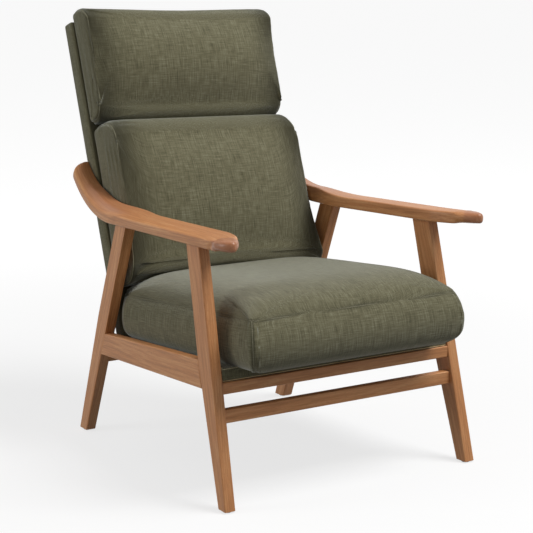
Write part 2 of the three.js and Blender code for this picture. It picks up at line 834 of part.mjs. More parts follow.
// A boxed cushion, from a grid on a box: rounded corners in plan, a crown on the broad face and
// sides that swell between the seams and draw in between the corners.
// X is across, Y runs from `from` to `to` and Z is through the thickness, from a flat face at 0.
const gridAcross = 8;
const gridThrough = 2;
const cornerPower = 24;
const swellPower = 5;
const crownPower = 6;
const closerToSeams = 1.6;
function cushionForm(form, inset) {
  const grid = new THREE.BoxGeometry(1, 1, 1, gridAcross, gridAcross, gridThrough);
  const level = (t, power) => 1 - Math.abs(t) ** power;
  const spread = (t) => Math.sign(t) * (1 - (1 - Math.min(Math.abs(t), 1)) ** closerToSeams);
  return reshaped(grid, (point) => {
    const a = spread(2 * point.x);
    const b = spread(2 * point.y);
    const c = 2 * point.z;
    const size = (Math.abs(a) ** cornerPower + Math.abs(b) ** cornerPower) ** (1 / cornerPower);
    const rounding = size === 0 ? 1 : Math.max(Math.abs(a), Math.abs(b)) / size;
    const u = a * rounding;
    const v = b * rounding;
    const through = (c + 1) / 2;
    const along = (v + 1) / 2;
    const swell = 1 - c * c;
    const half = THREE.MathUtils.lerp(form.halfWidthFrom, form.halfWidthTo, along) - inset;
    const out = form.sideSwell * swell - form.drawIn * (1 - v * v);
    const endSwell = (v < 0 ? -form.fromSwell : form.toSwell) * swell * Math.abs(v) ** swellPower;
    point.x = u * half + Math.sign(u) * out * Math.abs(u) ** swellPower;
    point.y = THREE.MathUtils.lerp(form.from + inset, form.to - inset, along) + endSwell;
    point.y += form.arch * level(u, swellPower) * (1 - along);
    const taper = THREE.MathUtils.lerp(form.thicknessFrom, form.thicknessTo, along);
    const fullness = Math.sqrt(level(u, crownPower) * level(v, crownPower));
    const crown = c > 0 ? form.crown * fullness * c : 0;
    point.z = THREE.MathUtils.lerp(inset, taper - inset, through) + crown;
  });
}

// A cushion's cover, its core and the zip that closes the cover. The zip fills a slot in the skin.
// What presses into the cushion dents it, at the depth that `pressing` is asked for.
function cushion(name, form, slot, pressing = () => []) {
  const dented = (inset) => cutAll(solid(cushionForm(form, inset)), pressing(fit + inset));
  const shell = dented(0).subtract(dented(form.cover));
  return [
    piece(`${name}_cover`, shell.subtract(solid(slot(0))), "fabric"),
    piece(`${name}_core`, dented(form.cover + fit), "foam"),
    piece(`${name}_zip`, shell.intersect(solid(slot(fit))), "lining"),
  ];
}

// The link strip lies on the back, and the back cushions on the strip
const stripRear = -back.thickness - fit;
const stripFront = stripRear - cushionStrip.thickness;
const onBack = new THREE.Matrix4().makeRotationX(radians(90)).setPosition(0, stripFront - fit, 0);
const onDeck = new THREE.Matrix4().makeTranslation(0, 0, deckTop + fit);

// The back cushion's foot presses into the seat cushion
function seatCushionGroup() {
  const group = new THREE.Group();
  group.applyMatrix4(deckPlace);
  const backInChair = backPlace.clone().multiply(onBack);
  const seatInChair = deckPlace.clone().multiply(onDeck);
  const foot = (depth) => cushionForm(backCushion, -depth).applyMatrix4(backInChair);
  const pressing = (depth) => [inPlace(foot(depth), seatInChair)];
  const middle = seatCushion.thicknessTo / 2;
  const slot = (shrink) =>
    box(
      shrink - zip.length / 2,
      zip.length / 2 - shrink,
      seatCushion.to - seatCushion.cover - fit / 2,
      seatCushion.to + overrun,
      middle - zip.width / 2 + shrink,
      middle + zip.width / 2 - shrink,
    );
  const parts = cushion("seat_cushion", seatCushion, slot, pressing);
  parts.forEach((part) => part.applyMatrix4(onDeck));
  group.add(...parts);
  return group;
}

// The two back cushions hang together on a strip of cloth behind them
function backCushionsGroup() {
  const group = new THREE.Group();
  group.applyMatrix4(backPlace);
  const slotAt = (height) => (shrink) =>
    box(
      shrink - zip.length / 2,
      zip.length / 2 - shrink,
      height - zip.width / 2 + shrink,
      height + zip.width / 2 - shrink,
      -overrun,
      backCushion.cover + fit / 2,
    );
  const forms = { back_cushion: backCushion, head_cushion: headCushion };
  for (const [name, form] of Object.entries(forms)) {
    const parts = cushion(name, form, slotAt(form.from + zip.rise));
    parts.forEach((part) => part.applyMatrix4(onBack));
    group.add(...parts);
  }
  const half = cushionStrip.length / 2;
  const middle = (backCushion.to + headCushion.from) / 2;
  const reach = cushionStrip.height / 2;
  const strip = box(-half, half, stripFront, stripRear, middle - reach, middle + reach);
  group.add(piece("cushion_link_strip", solid(strip), "fabric"));
  return group;
}

const chair = new THREE.Group();
chair.add(
  sideFrame("left"),
  sideFrame("right"),
  crossRails(),
  seatDeck(),
  backUnit(),
  seatCushionGroup(),
  backCushionsGroup(),
);

// The origin is on the floor, under the middle of the whole chair
const extent = new THREE.Box3().setFromObject(chair, true);
chair.position.y = -(extent.min.y + extent.max.y) / 2;
const group = new THREE.Group();
group.add(chair);

export default group;
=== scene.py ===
"""Looks of a high-backed fireside chair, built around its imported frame.

Metres, +Z up. The chair faces -Y, and its left-hand side is the one on the left of someone who
looks at its front: -X. Wooden pieces are finely shaped copies of the frame's solids, the cushions
and pads are sewn forms that a short cloth simulation puffs up, and every finish is procedural.
"""

import json
import logging
import math
from collections.abc import Iterable, Sequence
from dataclasses import dataclass, field
from enum import Enum
from typing import ClassVar, NamedTuple

import bmesh
import bpy
import numpy as np
from mathutils import Euler, Matrix, Vector, bvhtree, kdtree, noise


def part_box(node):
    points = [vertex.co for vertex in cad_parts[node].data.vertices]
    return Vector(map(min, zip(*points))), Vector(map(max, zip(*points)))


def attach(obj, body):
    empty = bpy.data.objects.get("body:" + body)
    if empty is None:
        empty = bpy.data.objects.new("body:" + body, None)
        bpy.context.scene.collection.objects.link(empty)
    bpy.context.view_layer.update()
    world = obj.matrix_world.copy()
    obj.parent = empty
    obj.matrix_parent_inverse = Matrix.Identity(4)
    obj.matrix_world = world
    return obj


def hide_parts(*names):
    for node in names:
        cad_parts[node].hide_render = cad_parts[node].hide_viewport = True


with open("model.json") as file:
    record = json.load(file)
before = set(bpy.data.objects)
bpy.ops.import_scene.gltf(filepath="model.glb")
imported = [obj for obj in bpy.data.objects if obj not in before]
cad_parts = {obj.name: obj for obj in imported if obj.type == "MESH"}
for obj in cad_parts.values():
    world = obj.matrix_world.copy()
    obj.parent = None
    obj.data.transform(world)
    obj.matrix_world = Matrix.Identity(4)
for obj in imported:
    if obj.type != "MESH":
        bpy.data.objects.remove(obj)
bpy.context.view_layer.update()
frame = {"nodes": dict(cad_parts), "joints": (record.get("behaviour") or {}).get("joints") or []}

log = logging.getLogger("fireside_chair")

MM = 0.001
# The gap between pieces that lie against each other
FIT = 0.3 * MM
# Keeps a division by a length away from zero
TINY = 1e-9
TAU = 2 * math.pi
QUARTER = TAU / 4

Colour = tuple[float, float, float, float]
Point = tuple[float, float, float]


class Hand(Enum):
    """The two sides of the chair, as the sign of X."""

    LEFT = -1
    RIGHT = 1

    @property
    def word(self) -> str:
        """The side's word in the names of nodes."""
        return self.name.lower()


class Grain(Enum):
    """The way the grain of a sawn batten runs, in the chair's axes."""

    ACROSS = 0
    REARWARD = 1
    UPWARD = 2


class Body(Enum):
    """The bodies of the frame."""

    FRAME = "frame"
    SEAT = "seat_cushion"
    BACKS = "back_cushions"


def linear(hex_colour: str) -> Colour:
    """Turns an sRGB hex colour to linear light.

    Args:
        hex_colour: Six hex digits after a hash.

    Returns:
        Red, green, blue and full alpha.
    """
    channels = [int(hex_colour[i : i + 2], 16) / 255 for i in (1, 3, 5)]
    curve = [c / 12.92 if c <= 0.04045 else ((c + 0.055) / 1.055) ** 2.4 for c in channels]
    return (*curve, 1.0)


def add_node(
    tree: bpy.types.NodeTree, kind: str, inputs: dict | None = None, **settings
) -> bpy.types.Node:
    """Adds a node with its settings and links.

    Args:
        tree: The node tree.
        kind: The node's type name.
        inputs: Values or output sockets, by the input's name or index.
        **settings: The node's own properties.

    Returns:
        The new node.
    """
    node = tree.nodes.new(kind)
    for name, value in settings.items():
        setattr(node, name, value)
    for key, value in (inputs or {}).items():
        if isinstance(value, bpy.types.NodeSocket):
            tree.links.new(value, node.inputs[key])
        else:
            node.inputs[key].default_value = value
    return node


def ramped(value: float, start: float, end: float) -> float:
    """How far a value is from a start to an end, kept from 0 to 1."""
    return min(max((value - start) / (end - start), 0), 1)


def eased(share: float) -> float:
    """A share that starts and stops gently."""
    return share**2 * (3 - 2 * share)


class Shading:
    """The node tree of a material or the world, with short calls for the sums in its patterns."""

    def __init__(self, owner: bpy.types.Material | bpy.types.World) -> None:
        """Clears the owner's tree for new nodes."""
        owner.use_nodes = True
        self.owner = owner
        self.tree = owner.node_tree
        self.tree.nodes.clear()

    def node(self, kind: str, inputs: dict | None = None, **settings) -> bpy.types.Node:
        """Adds a node to this tree."""
        return add_node(self.tree, kind, inputs, **settings)

    def sum(self, operation: str, *values) -> bpy.types.NodeSocket:
        """Adds a Math node of one operation over sockets or numbers."""
        return self.node("ShaderNodeMath", dict(enumerate(values)), operation=operation).outputs[0]

    def weighed(self, *parts: tuple[bpy.types.NodeSocket, float]) -> bpy.types.NodeSocket:
        """Adds up values, each times its share."""
        total = 0
        for value, share in parts:
            total = self.sum("MULTIPLY_ADD", value, share, total)
        return total

    def noise(
        self, vector: bpy.types.NodeSocket, scale: float, detail: float = 2, distortion: float = 0
    ) -> bpy.types.NodeSocket:
        """Adds a noise pattern, and gives its value."""
        inputs = {"Vector": vector, "Scale": scale, "Detail": detail, "Distortion": distortion}
        return self.node("ShaderNodeTexNoise", inputs).outputs[0]

    def stretched(self, vector, scales: Point, shift: Point = (0, 0, 0)) -> bpy.types.NodeSocket:
        """Scales and shifts a coordinate."""
        inputs = {"Vector": vector, "Scale": scales, "Location": shift}
        return self.node("ShaderNodeMapping", inputs).outputs[0]

    def ramp(self, value, stops: Sequence[tuple[float, str]]) -> bpy.types.NodeSocket:
        """Adds a colour ramp through sRGB hex stops."""
        node = self.node("ShaderNodeValToRGB", {0: value})
        elements = node.color_ramp.elements
        while len(elements) < len(stops):
            elements.new(1)
        for element, (place, colour) in zip(elements, stops):
            element.position = place
            element.color = linear(colour)
        return node.outputs[0]

    def between(self, value, low: float, high: float) -> bpy.types.NodeSocket:
        """Maps a value from 0 to 1 on to a range."""
        return self.node("ShaderNodeMapRange", {0: value, 3: low, 4: high}).outputs[0]

    def mixed(self, factor, first, second, blend: str = "MIX") -> bpy.types.NodeSocket:
        """Mixes two colours."""
        node = self.node("ShaderNodeMix", data_type="RGBA", blend_type=blend)
        for index, value in ((0, factor), (6, first), (7, second)):
            if isinstance(value, bpy.types.NodeSocket):
                self.tree.links.new(value, node.inputs[index])
            else:
                node.inputs[index].default_value = value
        return node.outputs[2]

    def bump(self, height, depth: float, strength: float = 1.0) -> bpy.types.NodeSocket:
        """Turns a height from 0 to 1 into a normal, `depth` metres deep."""
        inputs = {"Height": height, "Distance": depth, "Strength": strength}
        return self.node("ShaderNodeBump", inputs).outputs[0]

    def finish(self, inputs: dict) -> bpy.types.Material:
        """Adds the shader and the output, and gives the material."""
        shader = self.node("ShaderNodeBsdfPrincipled", inputs)
        self.node("ShaderNodeOutputMaterial", {"Surface": shader.outputs[0]})
        return self.owner


class Finish:
    """A finish that builds its material once."""

    made: ClassVar[dict["Finish", bpy.types.Material]] = {}

    def build(self) -> bpy.types.Material:
        """Builds the material."""
        raise NotImplementedError

    @property
    def material(self) -> bpy.types.Material:
        """The finish's material, built when it is first asked for."""
        if self not in Finish.made:
            Finish.made[self] = self.build()
        return Finish.made[self]


@dataclass(frozen=True)
class StainedBeech(Finish):
    """Planed beech, stained a warm mid brown and sprayed with satin lacquer.

    The grain runs along each member: streaks, growth rings cut at a slant, and short pores. The
    arms' noses are worn redder, and their tops are painted darker and redder as painted shade, most
    where they rise; on both the lacquer is smoother.
    """

    ring: float = 5.5 * MM
    ring_wander: float = 18 * MM
    ring_slant: float = 0.035
    streak: float = 9 * MM
    fibre: float = 1.6 * MM
    drift: float = 30 * MM
    pore: float = 0.7 * MM
    pore_level: float = 0.64
    relief: float = 0.08 * MM
    tones: tuple = ((0.3, "#9d683e"), (0.5, "#c18453"), (0.7, "#d8a371"))
    pore_tone: str = "#86563a"
    # The worn noses' tone, also used for the painted shade on the arms' tops
    touched_tone: str = "#9a6144"
    touched_gloss: float = 0.14

    def build(self) -> bpy.types.Material:
        """Builds the material from the piece's own grain coordinates."""
        s = Shading(bpy.data.materials.new("stained_beech"))
        grain = s.node("ShaderNodeAttribute", attribute_name="grain").outputs["Vector"]
        touched = s.node("ShaderNodeAttribute", attribute_name="touched").outputs["Fac"]
        streaks = s.noise(s.stretched(grain, (1, 1, 0.05)), 1 / self.streak, 3, 0.4)
        fibres = s.noise(s.stretched(grain, (1, 1, 0.03)), 1 / self.fibre, 2)
        drift = s.noise(s.stretched(grain, (1, 1, 0.12)), 1 / self.drift, 2)
        pores = s.noise(s.stretched(grain, (1, 1, 0.06)), 1 / self.pore, 1)
        part = s.node("ShaderNodeSeparateXYZ", {0: grain}).outputs
        slanted = s.sum("MULTIPLY_ADD", part["Z"], self.ring_slant, part["X"])
        radius = s.sum("SQRT", s.sum("MULTIPLY_ADD", slanted, slanted, s.sum("POWER", part["Y"], 2)))
        rings = s.sum("MULTIPLY_ADD", drift, self.ring_wander, radius)
        wave = s.sum("SINE", s.sum("MULTIPLY", rings, TAU / self.ring))
        ringed = s.between(s.sum("MULTIPLY_ADD", wave, 0.5, 0.5), 0.35, 0.65)
        pored = s.sum("GREATER_THAN", pores, self.pore_level)
        colour = s.ramp(s.weighed((fibres, 0.3), (streaks, 0.5), (ringed, 0.22)), self.tones)
        colour = s.mixed(s.sum("MULTIPLY", pored, 0.35), colour, linear(self.pore_tone))
        # Worn noses, and painted shade on the arms' tops: the stain is mixed towards a darker red
        colour = s.mixed(s.sum("MULTIPLY", touched, 0.65), colour, linear(self.touched_tone))
        rough = s.sum("MULTIPLY_ADD", touched, -self.touched_gloss, s.between(fibres, 0.44, 0.54))
        return s.finish({
            "Base Color": colour,
            "Roughness": rough,
            "IOR": 1.5,
            "Specular IOR Level": 0.38,
            "Coat Weight": 0.05,
            "Coat Roughness": 0.3,
            "Normal": s.bump(s.weighed((pored, -0.5), (fibres, 0.5)), self.relief, 0.6),
        })


@dataclass(frozen=True)
class SlubWeave(Finish):
    """Heavy woven upholstery cloth of mixed olive, khaki and grey yarns, with thick and thin places.

    Real threads lie about 0.8 mm apart. They are drawn 2 mm apart, so that they show. The warp
    (yarns) runs along V and the weft (picks) along U, and both have slubs. Along the seams the
    colour is painted darker: painted shade in the groove, and softer beside the seams on the face.
    """

    thread: float = 2.0 * MM
    slub_width: float = 3.2 * MM
    slub_length: float = 48 * MM
    cloud: float = 70 * MM
    relief: float = 0.9 * MM
    tones: tuple = ((0.5, "#3f3c2a"), (0.72, "#69654c"), (0.96, "#8e8c74"))
    # The dark tone of the painted shade along the seams
    seam_tone: str = "#2c2918"
    sheen_tone: str = "#c6cbc6"

    def build(self) -> bpy.types.Material:
        """Builds the material on the piece's weave map."""
        s = Shading(bpy.data.materials.new("olive_slub_weave"))
        cloth = s.node("ShaderNodeUVMap", uv_map="weave").outputs[0]
        part = s.node("ShaderNodeSeparateXYZ", {0: cloth}).outputs
        # How much painted shade each place has, stored on the mesh along the seams
        drawn_in = s.node("ShaderNodeAttribute", attribute_name="drawn_in").outputs["Fac"]
        wide = 1 / self.slub_width
        long = 1 / self.slub_length
        warp_slubs = s.noise(s.stretched(cloth, (wide, long, 1)), 1, 3, 0.25)
        weft_slubs = s.noise(s.stretched(cloth, (long, wide, 1), (3, 7, 0)), 1, 3, 0.25)
        yarns = s.noise(s.stretched(cloth, (1 / self.thread, 0.05 / self.thread, 1), (9, 2, 0)), 1, 2)
        picks = s.noise(s.stretched(cloth, (0.07 / self.thread, 1 / self.thread, 1), (1, 5, 0)), 1, 2)
        clouds = s.noise(cloth, 1 / self.cloud, 2)
        over = s.sum("SINE", s.sum("MULTIPLY", part["X"], TAU / 2 / self.thread))
        under = s.sum("SINE", s.sum("MULTIPLY", part["Y"], TAU / 2 / self.thread))
        weave = s.sum("MULTIPLY_ADD", s.sum("MULTIPLY", over, under), 0.5, 0.5)
        tone = s.weighed(
            (weft_slubs, 0.2),
            (warp_slubs, 0.28),
            (yarns, 0.42),
            (picks, 0.34),
            (clouds, 0.08),
            (weave, 0.12),
        )
        height = s.weighed((warp_slubs, 0.5), (yarns, 0.5), (weft_slubs, 0.4), (picks, 0.4))
        # Painted shade: the colour is mixed towards the dark tone along the seams
        painted_shade_share = s.sum("MULTIPLY", drawn_in, 0.85)
        return s.finish({
            "Base Color": s.mixed(painted_shade_share, s.ramp(tone, self.tones), linear(self.seam_tone)),
            "Roughness": 0.92,
            "IOR": 1.45,
            "Specular IOR Level": 0.25,
            "Sheen Weight": 0.85,
            "Sheen Roughness": 0.45,
            "Sheen Tint": linear(self.sheen_tone),
            "Normal": s.bump(height, self.relief),
        })


@dataclass(frozen=True)
class SawnSoftwood(Finish):
    """Unfinished planed pine for the frames inside the pads, with wide pale rings."""

    grain: Grain
    ring: float = 7 * MM
    fibre: float = 1.5 * MM
    along_share: float = 0.05
    relief: float = 0.1 * MM
    tones: tuple = ((0.35, "#b48e5e"), (0.5, "#d3b685"), (0.65, "#e0caa0"))

    def build(self) -> bpy.types.Material:
        """Builds the material with the grain along one of the chair's axes."""
        s = Shading(bpy.data.materials.new(f"sawn_softwood_{self.grain.name.lower()}"))
        place = s.node("ShaderNodeTexCoord").outputs["Object"]
        scales = [self.along_share if axis is self.grain else 1 for axis in Grain]
        along = s.stretched(place, tuple(scales))
        rings = s.noise(along, 1 / self.ring, 3, 0.8)
        fibres = s.noise(along, 1 / self.fibre, 2)
        tone = s.weighed((fibres, 0.3), (rings, 0.7))
        return s.finish({
            "Base Color": s.ramp(tone, self.tones),
            "Roughness": s.between(fibres, 0.7, 0.85),
            "Normal": s.bump(tone, self.relief),
        })


@dataclass(frozen=True)
class FineGrained(Finish):
    """A finish of two tones in fine grains: foam, lining, moulded plastic and the like."""

    name: str
    dark: str
    light: str
    grain: float
    roughness: float
    relief: float
    metallic: float = 0.0
    scales: Point = (1, 1, 1)
    roughness_spread: float = 0.06

    def build(self) -> bpy.types.Material:
        """Builds the material on the piece's place."""
        s = Shading(bpy.data.materials.new(self.name))
        place = s.stretched(s.node("ShaderNodeTexCoord").outputs["Object"], self.scales)
        grains = s.noise(place, 1 / self.grain, 3)
        smooth = self.roughness - self.roughness_spread
        rough = self.roughness + self.roughness_spread
        return s.finish({
            "Base Color": s.ramp(grains, [(0.35, self.dark), (0.65, self.light)]),
            "Roughness": s.between(grains, smooth, rough),
            "Metallic": self.metallic,
            "Normal": s.bump(grains, self.relief),
        })


# Open-cell cut foam: dull and pale, with pin-prick cells. They are drawn 1.5 mm across, so that
# they show
CUT_FOAM = FineGrained("cut_foam", "#cfc39c", "#e9dfbd", 1.5 * MM, 0.95, 0.4 * MM)
# Elastic webbing: black rubber cores wound in polyester, ribbed along its length
ELASTIC_WEBBING = FineGrained(
    "elastic_webbing", "#1b1b1a", "#34332f", 1.2 * MM, 0.8, 0.3 * MM, scales=(0.1, 1, 1)
)
# Spun-bonded lining: thin dull black felt with pressed dots
SPUN_LINING = FineGrained("spun_lining", "#17171a", "#2b2b2c", 1.8 * MM, 0.9, 0.15 * MM)
# Zinc-plated steel: grey, turned, with a soft shine
ZINC_STEEL = FineGrained("zinc_plated_steel", "#8f9396", "#b4b7ba", 2 * MM, 0.34, 0.03 * MM, metallic=1.0)
# Turned brass for the threaded sleeves
TURNED_BRASS = FineGrained("turned_brass", "#a98a4c", "#c9a968", 1 * MM, 0.3, 0.03 * MM, metallic=1.0)
# Moulded polyethylene glides: dark brown, waxy and scuffed
MOULDED_GLIDE = FineGrained("moulded_glide", "#1e1611", "#35281f", 3 * MM, 0.5, 0.08 * MM)
# Polyester thread and tape, dyed to match the cloth
DYED_TAPE = FineGrained("dyed_zip_tape", "#4b4938", "#66634e", 0.9 * MM, 0.8, 0.15 * MM)
# The cloth where it stands up over a seam: the same yarns, packed tight
SEAM_CLOTH = FineGrained("seam_cloth", "#615e49", "#83806a", 1.6 * MM, 0.92, 0.3 * MM)
# Nylon zip coil: smooth and a little shiny
ZIP_COIL = FineGrained("nylon_zip_coil", "#57543f", "#6f6c55", 1 * MM, 0.38, 0.05 * MM)


def mesh_object(name: str, points: np.ndarray, faces: Iterable[Sequence[int]]) -> bpy.types.Object:
    """Makes an object at the origin from points and faces, smooth shaded.

    Args:
        name: The piece's name.
        points: One row for each vertex, in the chair's axes.
        faces: Vertex numbers, anticlockwise from outside.

    Returns:
        The new object, linked to the scene.
    """
    mesh = bpy.data.meshes.new(name)
    mesh.from_pydata(np.asarray(points, float).tolist(), [], [list(map(int, f)) for f in faces])
    mesh.update()
    mesh.shade_smooth()
    made = bpy.data.objects.new(name, mesh)
    bpy.context.scene.collection.objects.link(made)
    return made


def coordinates(mesh: bpy.types.Mesh) -> np.ndarray:
    """The mesh's vertices, one row each."""
    flat = np.zeros(len(mesh.vertices) * 3, np.float32)
    mesh.vertices.foreach_get("co", flat)
    return flat.reshape(-1, 3).astype(float)


def set_coordinates(mesh: bpy.types.Mesh, points: np.ndarray) -> None:
    """Moves the mesh's vertices."""
    mesh.vertices.foreach_set("co", np.asarray(points, np.float32).ravel())
    mesh.update()
def in_place(points: np.ndarray, place: Matrix) -> np.ndarray:
    """Turns places in a piece's own axes to the chair's axes."""
    return points @ np.array(place.to_3x3()).T + np.array(place.translation)


def map_cloth(piece: bpy.types.Object, corners: Sequence[tuple[float, float]]) -> None:
    """Stores where each corner of each face lies on the cloth, in metres."""
    layer = piece.data.uv_layers.new(name="weave")
    layer.data.foreach_set("uv", np.array(corners, np.float32).ravel())


def near(far: np.ndarray, reach: float) -> np.ndarray:
    """A share for each distance: 1 at 0, and next to nothing at twice the reach."""
    return np.exp(-((far / reach) ** 2))

def settled(piece: bpy.types.Object) -> bpy.types.Object:
    """Applies every modifier of a piece."""
    graph = bpy.context.evaluated_depsgraph_get()
    mesh = bpy.data.meshes.new_from_object(piece.evaluated_get(graph), depsgraph=graph)
    old = piece.data
    piece.modifiers.clear()
    piece.data = mesh
    bpy.data.meshes.remove(old)
    mesh.name = piece.name
    return piece


def dress(piece: bpy.types.Object, finish: Finish) -> bpy.types.Object:
    """Gives a piece one finish all over."""
    piece.data.materials.clear()
    piece.data.materials.append(finish.material)
    return piece


def put_on(piece: bpy.types.Object, body: Body, slot: str, *nodes: str) -> bpy.types.Object:
    """Lets a piece ride on a body and stand for frame nodes.

    Args:
        piece: The finished piece.
        body: The body that it rides on.
        slot: The record's material slot. Not used.
        *nodes: The nodes that it stands for.

    Returns:
        The same piece.
    """
    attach(piece, body.value)
    if nodes:
        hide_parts(*nodes)
    log.info("%s: %d faces", piece.name, len(piece.data.polygons))
    return piece


class Growth:
    """A Geometry Nodes tree with named inputs, which turns a wire or surface into plain mesh."""

    def __init__(self, name: str, material: bpy.types.Material, **sizes: float) -> None:
        """Starts a tree.

        Args:
            name: The tree's name.
            material: What the result is made of.
            **sizes: The tree's named inputs and their values.
        """
        self.tree = bpy.data.node_groups.new(name, "GeometryNodeTree")
        self.material = material
        self.sizes = sizes
        face = self.tree.interface
        face.new_socket(name="Geometry", in_out="INPUT", socket_type="NodeSocketGeometry")
        face.new_socket(name="Geometry", in_out="OUTPUT", socket_type="NodeSocketGeometry")
        for size in sizes:
            face.new_socket(name=size, in_out="INPUT", socket_type="NodeSocketFloat")
        self.given = self.node("NodeGroupInput").outputs

    def node(self, kind: str, inputs: dict | None = None, **settings) -> bpy.types.Node:
        """Adds a node to the tree."""
        return add_node(self.tree, kind, inputs, **settings)

    def line(self, step: bpy.types.NodeSocket) -> bpy.types.NodeSocket:
        """The wire as a curve with evenly spaced points."""
        curve = self.node("GeometryNodeMeshToCurve", {0: self.given["Geometry"]}).outputs[0]
        inputs = {"Curve": curve, "Length": step}
        return self.node("GeometryNodeResampleCurve", inputs, mode="LENGTH").outputs[0]

    def end(self, geometry: bpy.types.NodeSocket) -> None:
        """Realizes the instances and gives the result its material."""
        real = self.node("GeometryNodeRealizeInstances", {0: geometry}).outputs[0]
        dressed = self.node("GeometryNodeSetMaterial", {"Geometry": real, "Material": self.material})
        smooth = self.node("GeometryNodeSetShadeSmooth", {"Geometry": dressed.outputs[0]})
        self.node("NodeGroupOutput", {0: smooth.outputs[0]})

    def grow(self, name: str, points: np.ndarray, edges: list) -> bpy.types.Object:
        """Grows the tree's result from a wire.

        Args:
            name: The new piece's name.
            points: The wire's points, in the chair's axes.
            edges: Pairs of point numbers.

        Returns:
            A plain mesh object.
        """
        mesh = bpy.data.meshes.new(name)
        mesh.from_pydata(points.tolist(), edges, [])
        piece = bpy.data.objects.new(name, mesh)
        bpy.context.scene.collection.objects.link(piece)
        growth = piece.modifiers.new(self.tree.name, "NODES")
        growth.node_group = self.tree
        for socket in self.tree.interface.items_tree:
            if socket.in_out == "INPUT" and socket.name in self.sizes:
                growth[socket.identifier] = self.sizes[socket.name]
        return settled(piece)


def wires(lines: Sequence[np.ndarray], closed: Sequence[bool]) -> tuple[np.ndarray, list]:
    """Joins several lines into one wire.

    Args:
        lines: Each line's points, one row each.
        closed: For each line, whether its end joins its start.

    Returns:
        All points, and pairs of point numbers.
    """
    points = []
    edges = []
    for line, loop in zip(lines, closed):
        first = len(points)
        points += [tuple(p) for p in line]
        edges += [(first + k, first + k + 1) for k in range(len(line) - 1)]
        if loop:
            edges.append((len(points) - 1, first))
    return np.array(points), edges


def ridge_growth() -> Growth:
    """A tree that lays a round ridge along a wire, as cloth stands up over its seam."""
    growth = Growth("seam_ridge", SEAM_CLOTH.material, Step=3 * MM, Radius=1.25 * MM)
    line = growth.line(growth.given["Step"])
    circle = {"Resolution": 8, "Radius": growth.given["Radius"]}
    ring = growth.node("GeometryNodeCurvePrimitiveCircle", circle).outputs[0]
    ridge = growth.node("GeometryNodeCurveToMesh", {"Curve": line, "Profile Curve": ring})
    growth.end(ridge.outputs[0])
    return growth


def row_growth(name: str, material: bpy.types.Material, pitch: float, size: Point) -> Growth:
    """A tree that sets small blocks along a wire: staples, or the teeth of a zip.

    Args:
        name: The tree's name.
        material: The blocks' material.
        pitch: The distance from one block to the next.
        size: A block's length along the wire, its width and its height.

    Returns:
        The tree, ready to grow.
    """
    named = dict(zip(("Length", "Width", "Height"), size))
    growth = Growth(name, material, Pitch=pitch, **named)
    line = growth.line(growth.given["Pitch"])
    sizes = growth.node("ShaderNodeCombineXYZ", {k: growth.given[key] for k, key in enumerate(named)})
    block = growth.node("GeometryNodeMeshCube", {"Size": sizes.outputs[0]}).outputs[0]
    tangent = growth.node("GeometryNodeInputTangent").outputs[0]
    along = growth.node("FunctionNodeAlignRotationToVector", {"Vector": tangent}, axis="X").outputs[0]
    placed = {"Points": line, "Instance": block, "Rotation": along}
    rows = growth.node("GeometryNodeInstanceOnPoints", placed)
    growth.end(rows.outputs[0])
    return growth


def store_grain(mesh: bpy.types.Mesh, grain: np.ndarray, touched: np.ndarray | None = None) -> None:
    """Stores where each vertex lies in its piece of timber.

    Args:
        mesh: The mesh.
        grain: Two places across the grain and one along it, in metres.
        touched: How much wear (the noses) and painted shade (the arms' tops) each vertex has, from 0 to 1.
    """
    mesh.attributes.new("grain", "FLOAT_VECTOR", "POINT").data.foreach_set(
        "vector", np.asarray(grain, np.float32).ravel()
    )
    if touched is None:
        touched = np.zeros(len(grain))
    mesh.attributes.new("touched", "FLOAT", "POINT").data.foreach_set(
        "value", np.asarray(touched, np.float32)
    )


# Each member is cut from another part of the board, so its pattern starts elsewhere
BOARD_STEP = np.array([0.037, 0.021, 0.61])


